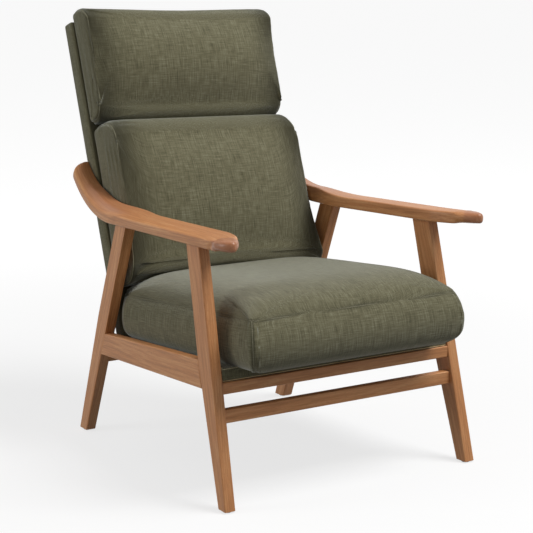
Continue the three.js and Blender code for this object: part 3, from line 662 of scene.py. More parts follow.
@dataclass
class Joinery:
    """Straight wooden members: copies of the frame's solids with their long edges rounded over.

    Attributes:
        round_over: The radius of the long edges.
        foot_round: The radius of the edges round a leg's foot.
        foot_band: How high over the lowest point an edge still belongs to the foot.
        segments: The steps in each rounded edge.
        shortest: Shorter edges than this stay sharp.
        sharpest: Flatter edges than this angle stay as they are.
        flatness: Faces within this angle are joined first.
        weld: Vertices within this distance are joined first.
        boards: How many members are cut so far.
    """

    round_over: float = 3 * MM
    foot_round: float = 1.2 * MM
    foot_band: float = 0.5 * MM
    segments: int = 4
    shortest: float = 60 * MM
    sharpest: float = math.radians(25)
    flatness: float = math.radians(0.5)
    weld: float = 0.01 * MM
    boards: int = 0

    def member(self, node: str) -> bpy.types.Object:
        """Makes one member from its node.

        Args:
            node: The frame's node.

        Returns:
            The finished piece.
        """
        shape = bmesh.new()
        shape.from_mesh(frame["nodes"][node].data)
        bmesh.ops.remove_doubles(shape, verts=shape.verts, dist=self.weld)
        bmesh.ops.dissolve_limit(
            shape, angle_limit=self.flatness, verts=shape.verts, edges=shape.edges
        )
        bmesh.ops.recalc_face_normals(shape, faces=shape.faces)
        lowest = min(v.co.z for v in shape.verts)
        self._round(shape, self.round_over, [e for e in shape.edges if e.calc_length() > self.shortest])
        if "leg" in node:
            band = lowest + self.foot_band
            at_foot = [e for e in shape.edges if max(v.co.z for v in e.verts) < band]
            self._round(shape, self.foot_round, at_foot)
        mesh = bpy.data.meshes.new(node)
        shape.to_mesh(mesh)
        shape.free()
        mesh.shade_smooth()
        piece = bpy.data.objects.new(f"{node}_shaped", mesh)
        bpy.context.scene.collection.objects.link(piece)
        piece.modifiers.new("Even shading", "WEIGHTED_NORMAL").weight = 100
        settled(piece)
        self.boards += 1
        points = coordinates(piece.data)
        centred = points - points.mean(0)
        axes = np.linalg.svd(centred, full_matrices=False)[2]
        store_grain(piece.data, centred @ axes[[2, 1, 0]].T + self.boards * BOARD_STEP)
        dress(piece, StainedBeech())
        return put_on(piece, Body.FRAME, "frame_wood", node)

    def _round(self, shape: bmesh.types.BMesh, radius: float, edges: list[bmesh.types.BMEdge]) -> None:
        """Rounds those of the edges that stand out."""
        sharp = [
            e for e in edges if len(e.link_faces) == 2 and e.calc_face_angle_signed() > self.sharpest
        ]
        bmesh.ops.bevel(
            shape,
            geom=sharp,
            offset=radius,
            segments=self.segments,
            profile=0.5,
            affect="EDGES",
            clamp_overlap=True,
        )


@dataclass
class Drawing:
    """Lines of the chair's drawing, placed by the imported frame.

    The drawing's line Y = 0 runs across the chair, behind the front rail.

    Attributes:
        toe_in: How much the side frames close in to the rear, seen from above.
        cant: How much they lean in, seen from the front.
        side_half_width: Half the width over the side frames' outer faces, on the floor at Y = 0.
        front_rail_face: The place of the front rail's face, seen from Y = 0.
        back_thickness: The thickness of the padded back panel.
        zero: The place of Y = 0 in the chair's axes.
        deck_place: The seat deck's place: Y runs down its slope to the rear, from the front rail.
        back_place: The back panel's place: Y runs up its rear face.
    """

    toe_in: float = math.radians(2.862)
    cant: float = math.radians(1.146)
    side_half_width: float = 322 * MM
    front_rail_face: float = -299 * MM
    back_thickness: float = 43 * MM
    zero: float = field(init=False)
    deck_place: Matrix = field(init=False)
    back_place: Matrix = field(init=False)

    def __post_init__(self) -> None:
        """Finds the deck's slope and the back's rake in the frame's joints and boxes."""
        rail_low, rail_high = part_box("front_seat_rail")
        back_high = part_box("back_cover")[1]
        self.zero = rail_low.y - self.front_rail_face
        axes = {joint["child"]: Vector(joint["axis"]) for joint in frame["joints"]}
        self.deck_place = self._place(-axes[Body.SEAT.value], rail_low.y, rail_high.z)
        up = axes[Body.BACKS.value]
        rake = math.atan2(up.y, up.z)
        top = (back_high.z - self.back_thickness * math.sin(rake)) / math.cos(rake)
        self.back_place = self._place(up, back_high.y - top * math.sin(rake), 0)

    def _place(self, along: Vector, y: float, z: float) -> Matrix:
        """A place whose Y runs along a direction, with X across the chair."""
        across = Vector((1, 0, 0))
        place = Matrix((across, along, across.cross(along))).transposed().to_4x4()
        place.translation = (0, y, z)
        return place

    def side_x(self, y: float, z: float) -> float:
        """Half the width over the side frames' outer faces, at a place in the chair's axes."""
        return self.side_half_width - math.tan(self.toe_in) * (y - self.zero) - math.tan(self.cant) * z


def box_grid(counts: tuple[int, int, int]) -> tuple[np.ndarray, list, dict]:
    """Covers a box with a grid of quads.

    Args:
        counts: The number of quads along X, Y and Z.

    Returns:
        The whole-number places of the vertices, the quads facing out, and each panel's vertices
        as a grid, by its name.
    """
    seen: dict = {}
    quads = []
    panels = {}
    nx, ny, nz = counts
    sheets = {
        "under": ((nx, ny), lambda i, j: (i, j, 0), True),
        "face": ((nx, ny), lambda i, j: (i, j, nz), False),
        "from_end": ((nx, nz), lambda i, j: (i, 0, j), False),
        "to_end": ((nx, nz), lambda i, j: (i, ny, j), True),
        "left": ((ny, nz), lambda i, j: (0, i, j), True),
        "right": ((ny, nz), lambda i, j: (nx, i, j), False),
    }
    for name, ((across, along), at, turned) in sheets.items():
        grid = [
            [seen.setdefault(at(i, j), len(seen)) for j in range(along + 1)] for i in range(across + 1)
        ]
        panels[name] = np.array(grid)
        for i in range(across):
            for j in range(along):
                quad = (grid[i][j], grid[i + 1][j], grid[i + 1][j + 1], grid[i][j + 1])
                quads.append((name, quad[::-1] if turned else quad))
    return np.array(list(seen), float), quads, panels


# The points in each rounded corner of a border's section
PROFILE_POINTS = 24


def edge_profile(height: float, under_round: float, face_round: float, steps: int) -> np.ndarray:
    """The section of a cushion's border, from its underside to its face.

    Args:
        height: The border's height.
        under_round: The radius at the underside.
        face_round: The radius at the face, or 0 for a crisp seam.
        steps: The number of steps.

    Returns:
        Rows of height and inset, evenly spaced along the section.
    """
    turns = np.linspace(0, QUARTER, PROFILE_POINTS)
    points = [(under_round * (1 - math.cos(t)), under_round * (1 - math.sin(t))) for t in turns]
    points += [
        (height - face_round * (1 - math.sin(t)), face_round * (1 - math.cos(t))) for t in turns
    ]
    points = np.array(points)
    reach = np.concatenate([[0], np.cumsum(np.linalg.norm(np.diff(points, axis=0), axis=1))])
    wanted = np.linspace(0, reach[-1], steps + 1)
    return np.stack([np.interp(wanted, reach, points[:, k]) for k in range(2)], axis=1)


@dataclass
class Padding:
    """How a cushion's cover is puffed up and how its cloth lies.

    Attributes:
        pressure: The cloth simulation's pressure.
        stiffness: Its stiffness in bending.
        quality: Its steps in each frame.
        frames: How long it runs.
        cap: The most that it may move the cover.
        excess: The share by which the cover is cut larger than the form.
        pucker: The height of the small puckers beside a seam.
        pucker_length: Their size along the cloth.
        pucker_reach: How far they go from the seam.
        groove: How deep a seam draws the cloth in.
        groove_reach: How wide that groove is.
        seam_shade: How dark the painted shade in the groove is.
        shade_reach: How wide that painted shade is.
        drawn_reach: How wide the softer painted shade beside a seam on the face is.
        facing_shares: How far the cloth may turn to the side for that painted shade: in full, and at all.
    """

    pressure: float = 4.0
    stiffness: float = 0.3
    quality: int = 5
    frames: int = 20
    cap: float = 5 * MM
    excess: float = 0.012
    pucker: float = 1.0 * MM
    pucker_length: float = 16 * MM
    pucker_reach: float = 22 * MM
    groove: float = 2.0 * MM
    groove_reach: float = 3.2 * MM
    # Painted shade along the seams: in the groove, and softer on the face beside them
    seam_shade: float = 0.8
    shade_reach: float = 4.5 * MM
    drawn_reach: float = 52 * MM
    facing_shares: tuple[float, float] = (0.2, 0.7)


@dataclass(kw_only=True)
class BoxedCushion:
    """A boxed cushion or pad: a crowned face, a border that swells and an underside.

    X is across, Y runs from its first end to its second, and Z is through the thickness. Pairs are
    for the first and the second end.

    Attributes:
        name: The piece's name.
        body: The body that it rides on.
        nodes: The frame's nodes that it stands for.
        place: Its place in the chair's axes.
        lift: How far its underside lies over the place's own plane.
        half_widths: Half the width.
        ends: The places of the ends along Y.
        heights: The border's height.
        taper_power: How soon the first end's width gives way to the second's.
        crown: How much the middle of the face stands over its edge.
        side_fullness: The powers that shape the crown towards the sides.
        end_fullness: The powers that shape it towards the ends.
        droop: How far the underside sinks where nothing carries it.
        overhang: The place along Y ahead of which nothing carries it.
        overhang_reach: The length over which it sinks.
        arch: How far the first end is hollowed in the middle.
        tilt: How much further along Y the left side lies than the middle.
        aside: How far the whole sits to the right.
        side_swell: How far the sides' border bulges.
        from_swell: How far the first end's border bulges.
        draw_in: How far the sides are drawn in half way along.
        to_draw: How far the second end is drawn in half way across.
        corners: The radii of the corners in plan.
        right_corner_share: The right corners' radii, as a share of the left ones.
        under_round: The radius round the underside.
        side_round: The radius at the face's sides, or 0 for a crisp seam.
        end_round: The radius at the face's ends.
        seam_square_share: How much the plan's corners tighten towards the face.
        seams: The sewn edges.
        pressed_by: Firmer pieces that dent the cushion.
        gives_down: Whether the dents go down, and not towards the middle.
        border_upright: Whether the warp runs up the border, and not along it.
        cell: The size of the mesh's cells before they are halved.
        fewest: The fewest cells each way.
        crowding_share: How much closer together the cells lie towards the edges.
        give_reach: The deepest dent.
        give_gap: The gap to the piece that makes the dent.
        give_rounds: How widely a dent spreads.
        panel_step: The distance on the bolt of cloth from one panel to the next.
        bulge_power: How boxy the border's bulge is.
        edge_power: How close to the border the swell and the draw keep.
        arch_power: How square the arch is.
        plan_power: How close to the border the plan's corners are rounded.
        padding: The cover's puff and seams.
    """

    name: str
    body: Body
    nodes: tuple[str, ...]
    fill: float
    place: Matrix
    lift: float = 0.0
    half_widths: tuple[float, float]
    ends: tuple[float, float]
    heights: tuple[float, float]
    taper_power: float = 1.0
    crown: float = 0.0
    side_fullness: tuple[float, float] = (6.0, 0.5)
    end_fullness: tuple[float, float] = (5.0, 0.6)
    droop: float = 0.0
    overhang: float = 0.0
    overhang_reach: float = 50 * MM
    arch: float = 0.0
    tilt: float = 0.0
    aside: float = 0.0
    side_swell: float = 0.0
    from_swell: float = 0.0
    draw_in: float = 0.0
    to_draw: float = 0.0
    corners: tuple[float, float] = (14 * MM, 14 * MM)
    right_corner_share: float = 1.0
    under_round: float = 20 * MM
    side_round: float = 0.0
    end_round: float = 0.0
    seam_square_share: float = 0.85
    seams: tuple[str, ...] = ()
    pressed_by: tuple[str, ...] = ()
    gives_down: bool = False
    border_upright: bool = True
    cell: float = 9 * MM
    fewest: int = 4
    crowding_share: float = 0.62
    give_reach: float = 40 * MM
    give_gap: float = 0.6 * MM
    give_rounds: int = 14
    panel_step: float = 0.7
    bulge_power: float = 0.8
    edge_power: float = 6
    arch_power: float = 5
    plan_power: float = 8
    padding: Padding = field(default_factory=Padding)
    panels: dict[str, np.ndarray] = field(init=False)
    seam_paths: list[np.ndarray] = field(init=False)
    seam_lines: list[np.ndarray] = field(init=False)

    def fit(self) -> None:
        """Builds the piece and its seams, and says what it stands for."""
        piece = put_on(self.build(), self.body, "upholstery_fabric", *self.nodes)
        if self.seams:
            closed = [name == "round" for name in self.seams]
            ridge = ridge_growth().grow(f"{self.name}_seams", *wires(self.seam_lines, closed))
            put_on(ridge, self.body, "upholstery_fabric")

    def build(self) -> bpy.types.Object:
        """Builds the finished mesh, with its weave map."""
        height = sum(self.heights) / 2
        spans = (sum(self.half_widths), self.ends[1] - self.ends[0], height + self.under_round)
        counts = tuple(max(self.fewest, round(span / self.cell)) for span in spans)
        places, quads, self.panels = box_grid(counts)
        points = in_place(self._form(places, counts), self.place)
        piece = mesh_object(self.name, points, [quad for _, quad in quads])
        self.seam_paths = self._seam_paths()
        self._puff_up(piece)
        self._map_weave(piece, quads)
        finer = piece.modifiers.new("Finer", "SUBSURF")
        finer.levels = finer.render_levels = 1
        settled(piece)
        self._draw_in_seams(piece)
        self._give_way(piece)
        self.seam_lines = [coordinates(piece.data)[path] for path in self.seam_paths]
        return dress(piece, SlubWeave())

    def _form(self, places: np.ndarray, counts: tuple[int, int, int]) -> np.ndarray:
        """Bends the box's grid into the cushion.

        Args:
            places: Whole-number places in the grid.
            counts: The number of cells along X, Y and Z.

        Returns:
            Places in the cushion's own axes.
        """
        nx, ny, nz = counts
        a = self._crowded(places[:, 0] / nx * 2 - 1)
        b = self._crowded(places[:, 1] / ny * 2 - 1)
        level = places[:, 2].astype(int)
        length = self.ends[1] - self.ends[0]
        height = sum(self.heights) / 2
        along = (b + 1) / 2
        wide = (1 - along) ** self.taper_power
        half = self.half_widths[1] + (self.half_widths[0] - self.half_widths[1]) * wide
        sides = edge_profile(height, self.under_round, self.side_round, nz)
        tips = edge_profile(height, self.under_round, self.end_round, nz)
        corner = np.where(b < 0, self.corners[0], self.corners[1])
        corner = corner * np.where(a > 0, self.right_corner_share, 1)
        x_inset = sides[level, 1]
        y_inset = tips[level, 1]
        if self.end_round:
            corner = corner * (1 - self.seam_square_share * y_inset / self.end_round)
        u, v = self._rounded(a, b, half, length / 2, corner)
        ease = np.maximum(corner, 2 * self.end_round)
        endness = np.clip((np.abs(b) - np.abs(a)) * length / 2 / ease / 2 + 0.5, 0, 1)
        rise = sides[level, 0] * (1 - endness) + tips[level, 0] * endness
        bulge = np.sin(np.clip(rise / height, 0, 1) * math.pi) ** self.bulge_power
        full_u = np.clip(1 - np.abs(u) ** self.side_fullness[0], 0, 1) ** self.side_fullness[1]
        full_v = np.clip(1 - np.abs(v) ** self.end_fullness[0], 0, 1) ** self.end_fullness[1]
        out = self.side_swell * bulge - self.draw_in * (1 - v**2)
        x = u * (half - x_inset) + np.sign(u) * out * np.abs(u) ** self.edge_power
        middle = (self.ends[0] + self.ends[1]) / 2
        y = middle + v * (length / 2 - y_inset)
        swell = np.where(v < 0, self.from_swell, 0) * bulge
        drawn = np.where(v < 0, 0, self.to_draw) * (1 - u**2)
        y += np.sign(v) * (swell - drawn) * np.abs(v) ** self.edge_power
        y += self.arch * (1 - np.abs(u) ** self.arch_power) * (1 - along) - self.tilt * u
        taper = (self.heights[0] + (self.heights[1] - self.heights[0]) * along) / height
        z = rise * taper + np.where(level == nz, self.crown * full_u * full_v, 0)
        ahead = np.clip((self.overhang - y) / self.overhang_reach, 0, 1)
        z -= self.droop * ahead * np.clip(1 - rise / height, 0, 1)
        return np.stack([x + self.aside, y, z + self.lift], axis=1)

    def _crowded(self, even: np.ndarray) -> np.ndarray:
        """Moves evenly spaced shares from -1 to 1 closer together towards both ends."""
        return even + self.crowding_share * np.sin(even * math.pi) / math.pi

    def _rounded(
        self, a: np.ndarray, b: np.ndarray, half_x: np.ndarray, half_y: float, r: np.ndarray
    ) -> tuple[np.ndarray, np.ndarray]:
        """Rounds the corners of a square of sides -1 to 1, as seen in plan.

        Args:
            a: Shares across, from -1 to 1.
            b: Shares along, from -1 to 1.
            half_x: Half the real width.
            half_y: Half the real length.
            r: The corners' radii.

        Returns:
            The new shares across and along.
        """
        m = np.maximum(np.maximum(np.abs(a), np.abs(b)), TINY)
        edge_a = np.abs(a) / m * half_x
        edge_b = np.abs(b) / m * half_y
        into_x = np.maximum(edge_a - (half_x - r), 0)
        into_y = np.maximum(edge_b - (half_y - r), 0)
        reach = np.hypot(into_x, into_y)
        pull = np.where(reach > r, r / np.maximum(reach, TINY), 1)
        new_x = np.where(reach > r, half_x - r + into_x * pull, edge_a)
        new_y = np.where(reach > r, half_y - r + into_y * pull, edge_b)
        share = m**self.plan_power
        u = np.sign(a) * (np.abs(a) * (1 - share) + new_x / half_x * m * share)
        v = np.sign(b) * (np.abs(b) * (1 - share) + new_y / half_y * m * share)
        return u, v

    def _seam_paths(self) -> list[np.ndarray]:
        """The vertices along each sewn edge, in order."""
        face = self.panels["face"]
        left = self.panels["left"]
        right = self.panels["right"]
        corners = {
            "round": np.concatenate([face[:, 0], face[-1, 1:], face[-2::-1, -1], face[0, -2:0:-1]]),
            "left": np.concatenate([left[0, :-1], face[0, :], left[-1, -2::-1]]),
            "right": np.concatenate([right[0, :-1], face[-1, :], right[-1, -2::-1]]),
            "corner_left": left[0, :],
            "corner_right": right[0, :],
        }
        return [corners[name] for name in self.seams]

    def _puff_up(self, piece: bpy.types.Object) -> None:
        """Puffs the cover up by a short cloth simulation, with the seams and underside held."""
        pad = self.padding
        rest = coordinates(piece.data)
        held = piece.vertex_groups.new(name="held")
        under = set(self.panels["under"].ravel().tolist())
        seams = {int(v) for path in self.seam_paths for v in path}
        held.add(sorted(under | seams), 1.0, "REPLACE")
        cloth = piece.modifiers.new("Cloth", "CLOTH")
        settings = cloth.settings
        settings.use_pressure = True
        settings.uniform_pressure_force = pad.pressure
        settings.effector_weights.gravity = 0
        settings.vertex_group_mass = "held"
        settings.pin_stiffness = 1.0
        settings.shrink_min = -pad.excess
        settings.quality = pad.quality
        settings.bending_stiffness = pad.stiffness
        cloth.point_cache.frame_start = 1
        cloth.point_cache.frame_end = pad.frames
        for step in range(1, pad.frames + 1):
            bpy.context.scene.frame_set(step)
        graph = bpy.context.evaluated_depsgraph_get()
        puffed = coordinates(piece.evaluated_get(graph).to_mesh())
        piece.evaluated_get(graph).to_mesh_clear()
        piece.modifiers.clear()
        bpy.context.scene.frame_set(1)
        moved = puffed - rest
        size = np.linalg.norm(moved, axis=1, keepdims=True)
        capped = pad.cap * np.tanh(size / pad.cap)
        set_coordinates(piece.data, rest + moved / np.maximum(size, TINY) * capped)

    def _map_weave(self, piece: bpy.types.Object, quads: list) -> None:
        """Lays the cloth on each panel, measured along its surface.

        Args:
            piece: The puffed cushion.
            quads: The name of the panel of each face, in order, with its vertices.
        """
        points = coordinates(piece.data)
        flat = {}
        for number, (name, grid) in enumerate(self.panels.items()):
            rows = points[grid]
            across = np.linalg.norm(np.diff(rows, axis=0), axis=2)
            along = np.linalg.norm(np.diff(rows, axis=1), axis=2)
            u = np.zeros(grid.shape)
            v = np.zeros(grid.shape)
            u[1:] = np.cumsum(across, axis=0)
            v[:, 1:] = np.cumsum(along, axis=1)
            u -= u[len(u) // 2]
            v -= v[:, [v.shape[1] // 2]]
            if name in ("left", "right") and not self.border_upright:
                u, v = v, u
            u += self.panel_step * number
            flat[name] = {int(k): (x, y) for k, x, y in zip(grid.ravel(), u.ravel(), v.ravel())}
        corners = []
        for (name, _), face in zip(quads, piece.data.polygons):
            corners += [flat[name][k] for k in face.vertices]
        map_cloth(piece, corners)

    def _give_way(self, piece: bpy.types.Object) -> None:
        """Dents the cushion where firmer pieces press into it, and eases the cloth around the dents."""
        points = coordinates(piece.data)
        trees = []
        for name in self.pressed_by:
            firm = bpy.data.objects[name].data
            faces = [list(face.vertices) for face in firm.polygons]
            trees.append(bvhtree.BVHTree.FromPolygons(coordinates(firm).tolist(), faces))
        ends = np.array([edge.vertices[:] for edge in piece.data.edges])
        shared = np.bincount(ends.ravel(), minlength=len(points))[:, None]
        push = self._pushed_out(points, trees) - points
        pressed = np.linalg.norm(push, axis=1, keepdims=True) > 0
        if not pressed.any():
            return
        for _ in range(self.give_rounds):
            spread = np.zeros_like(push)
            np.add.at(spread, ends[:, 0], push[ends[:, 1]])
            np.add.at(spread, ends[:, 1], push[ends[:, 0]])
            spread /= shared
            push = np.where(pressed, (push + spread) / 2, spread)
        set_coordinates(piece.data, self._pushed_out(points + push, trees))

    def _pushed_out(self, points: np.ndarray, trees: Sequence[bvhtree.BVHTree]) -> np.ndarray:
        """Moves the points that lie inside the firmer pieces out of them.

        Args:
            points: The cushion's vertices.
            trees: The firmer pieces.

        Returns:
            The vertices, moved down or towards the middle where they lay inside.
        """
        moved = points.copy()
        for tree in trees:
            for k, point in enumerate(moved):
                at, normal, _, _ = tree.find_nearest(Vector(point), self.give_reach)
                if at is None or (Vector(point) - at).dot(normal) >= 0:
                    continue
                way = Vector((0, 0, -1)) if self.gives_down else Vector((-math.copysign(1, point[0]), 0, 0))
                out = tree.ray_cast(Vector(point), way, self.give_reach)[0]
                if out is not None:
                    moved[k] = out + way * self.give_gap
        return moved

    def _draw_in_seams(self, piece: bpy.types.Object) -> None:
        """Draws the cloth in along the seams, puckers it beside them, and stores painted shade there."""
        points = coordinates(piece.data)
        normals = np.zeros(points.size, np.float32)
        piece.data.vertices.foreach_get("normal", normals)
        normals = normals.reshape(-1, 3)
        # The painted shade along the seams, by which the cloth's colour is darkened
        drawn = piece.data.attributes.new("drawn_in", "FLOAT", "POINT").data
        if not self.seam_paths:
            return
        on_seams = np.concatenate([finer_line(points[path], 3) for path in self.seam_paths])
        tree = kdtree.KDTree(len(on_seams))
        for k, point in enumerate(on_seams):
            tree.insert(point, k)
        tree.balance()
        far = np.array([tree.find(point)[2] for point in points])
        pad = self.padding
        # Painted shade: darker colour in the groove along each seam
        shade = pad.seam_shade * near(far, pad.shade_reach)
        ripple = np.array([noise.noise(Vector(point) / pad.pucker_length) for point in points])
        pucker = pad.pucker * ripple * near(far, pad.pucker_reach)
        moved = pucker - pad.groove * near(far, pad.groove_reach)
        set_coordinates(piece.data, points + normals * moved[:, None])
        # Softer painted shade on the face beside the seams, where the cloth faces front
        if not self.border_upright:
            across = np.array(self.place.to_3x3())[:, 0]
            facing = np.interp(np.abs(normals @ across), pad.facing_shares, (1, 0))
            shade = np.maximum(shade, facing * near(far, pad.drawn_reach))
        drawn.foreach_set("value", shade.astype(np.float32))


@dataclass(kw_only=True)
class BackCushion(BoxedCushion):
    """The back cushion: hollowed at its foot over the seat's crown, and dented by the arms."""

    name: str = "back_cushion"
    body: Body = Body.BACKS
    nodes: tuple[str, ...] = ("back_cushion_cover", "back_cushion_core")
    fill: float = 0.85
    half_widths: tuple[float, float] = (270 * MM, 254 * MM)
    ends: tuple[float, float] = (358 * MM, 762 * MM)
    heights: tuple[float, float] = (127 * MM, 119 * MM)
    taper_power: float = 2.0
    crown: float = 26 * MM
    side_fullness: tuple[float, float] = (3.2, 0.9)
    end_fullness: tuple[float, float] = (2.8, 1.6)
    arch: float = 25 * MM
    tilt: float = 7 * MM
    side_swell: float = 4 * MM
    draw_in: float = 3 * MM
    corners: tuple[float, float] = (18 * MM, 22 * MM)
    end_round: float = 42 * MM
    seams: tuple[str, ...] = ("left", "right")
    pressed_by: tuple[str, ...] = ("arm_left_shaped", "arm_right_shaped")
    border_upright: bool = False


@dataclass(kw_only=True)
class HeadCushion(BoxedCushion):
    """The head cushion: thinner, and fullest at its middle."""

    name: str = "head_cushion"
    body: Body = Body.BACKS
    nodes: tuple[str, ...] = ("head_cushion_cover", "head_cushion_core")
    fill: float = 0.85
    half_widths: tuple[float, float] = (258 * MM, 261 * MM)
    ends: tuple[float, float] = (765 * MM, 1046 * MM)
    heights: tuple[float, float] = (67 * MM, 86 * MM)
    crown: float = 31 * MM
    side_fullness: tuple[float, float] = (3.5, 0.8)
    end_fullness: tuple[float, float] = (2.2, 1.3)
    tilt: float = 8 * MM
    aside: float = 3 * MM
    side_swell: float = 6 * MM
    draw_in: float = 3 * MM
    to_draw: float = 8 * MM
    corners: tuple[float, float] = (16 * MM, 14 * MM)
    right_corner_share: float = 1.4
    end_round: float = 32 * MM
    seams: tuple[str, ...] = ("left", "right")
    border_upright: bool = False


@dataclass(kw_only=True)
class SeatCushion(BoxedCushion):
    """The seat cushion: high-crowned, and hanging over the front rail."""

    name: str = "seat_cushion"
    body: Body = Body.SEAT
    nodes: tuple[str, ...] = ("seat_cushion_cover", "seat_cushion_core")
    fill: float = 0.9
    half_widths: tuple[float, float] = (276 * MM, 262 * MM)
    ends: tuple[float, float] = (-76 * MM, 529 * MM)
    heights: tuple[float, float] = (107 * MM, 104 * MM)
    crown: float = 60 * MM
    droop: float = 11 * MM
    overhang: float = -3 * MM
    side_swell: float = 13 * MM
    from_swell: float = 21 * MM
    draw_in: float = 4 * MM
    corners: tuple[float, float] = (13 * MM, 38 * MM)
    under_round: float = 26 * MM
    seams: tuple[str, ...] = ("round", "corner_left", "corner_right")
    pressed_by: tuple[str, ...] = ("back_cushion",)
    gives_down: bool = True


@dataclass(kw_only=True)
class BackPanel(BoxedCushion):
    """The back panel: a flat frame padded all over and covered in cloth."""

    name: str = "back_panel"
    body: Body = Body.FRAME
    nodes: tuple[str, ...] = ("back_cover",)
    fill: float = 1.0
    half_widths: tuple[float, float] = (257 * MM, 257 * MM)
    ends: tuple[float, float] = (214 * MM, 1035 * MM)
    corners: tuple[float, float] = (5 * MM, 5 * MM)
    under_round: float = 3 * MM
    side_round: float = 3 * MM
    end_round: float = 3 * MM
    border_upright: bool = False
    padding: Padding = field(default_factory=lambda: Padding(cap=2 * MM))


@dataclass(kw_only=True)
class DeckPad(BoxedCushion):
    """The seat deck: battens, straps and a foam sheet under a thin tight cover."""

    name: str = "deck_pad"
    body: Body = Body.FRAME
    nodes: tuple[str, ...] = ("deck_cover",)
    fill: float = 0.9
    corners: tuple[float, float] = (2 * MM, 2 * MM)
    under_round: float = 1 * MM
    side_round: float = 1.5 * MM
    end_round: float = 1.5 * MM
    cell: float = 12 * MM


@dataclass
class FlatCloth:
    """A flat piece of cloth, a little slack between the edges that hold it.

    Attributes:
        name: The piece's name.
        place: Its place in the chair's axes.
        half_widths: Half the width at the first and the second end.
        ends: The places of the ends along Y.
        lift: How far it lies over the place's own plane.
        thickness: The cloth's thickness.
        slack: How far its middle hangs down.
        ripple_length: The size of its ripples.
        cell: The size of the mesh's cells.
        edge_power: How close to the edges the slack begins.
    """

    name: str
    place: Matrix
    half_widths: tuple[float, float]
    ends: tuple[float, float]
    lift: float
    thickness: float
    slack: float = 0.0
    ripple_length: float = 60 * MM
    cell: float = 12 * MM
    edge_power: int = 4

    @property
    def length(self) -> float:
        """The cut's length."""
        return self.ends[1] - self.ends[0]

    @property
    def flat(self) -> tuple[float, float]:
        """The width and length of the cloth that it is cut from."""
        return 2 * max(self.half_widths), self.length

    @property
    def area(self) -> float:
        """The cut's flat area."""
        return sum(self.half_widths) * self.length

    def build(self, finish: Finish) -> bpy.types.Object:
        """Builds the closed mesh, with its weave map."""
        counts = (round(sum(self.half_widths) / self.cell), round(self.length / self.cell), 1)
        places, quads, _ = box_grid(counts)
        across = places[:, 0] / counts[0] * 2 - 1
        along = places[:, 1] / counts[1]
        x = across * (self.half_widths[0] + (self.half_widths[1] - self.half_widths[0]) * along)
        y = self.ends[0] + along * self.length
        free = (1 - across**self.edge_power) * (1 - (2 * along - 1) ** self.edge_power)
        ripple = np.array([noise.noise(Vector((p, q, 0)) / self.ripple_length) for p, q in zip(x, y)])
        z = self.lift + places[:, 2] * self.thickness - self.slack * free * (1 + ripple) / 2
        points = in_place(np.stack([x, y, z], axis=1), self.place)
        piece = mesh_object(self.name, points, [quad for _, quad in quads])
        map_cloth(piece, [(x[k], y[k]) for face in piece.data.polygons for k in face.vertices])
        return dress(piece, finish)


# The steps in which a shaped corner is rounded
ROUNDING_STEPS = 6


def tube_faces(rings: int, around: int) -> list[tuple[int, ...]]:
    """The faces of a closed tube over rings of equally many points, with a cap at each end."""
    faces = []
    for r in range(rings - 1):
        for i in range(around):
            j = (i + 1) % around
            faces.append((r * around + i, (r + 1) * around + i, (r + 1) * around + j, r * around + j))
    faces.append(tuple(range(around)))
    faces.append(tuple((rings - 1) * around + i for i in reversed(range(around))))
    return faces


def finer_line(line: np.ndarray, times: int) -> np.ndarray:
    """Puts more points on a line, evenly between its own."""
    wanted = np.linspace(0, len(line) - 1, (len(line) - 1) * times + 1)
    return np.stack([np.interp(wanted, range(len(line)), line[:, k]) for k in range(3)], axis=1)


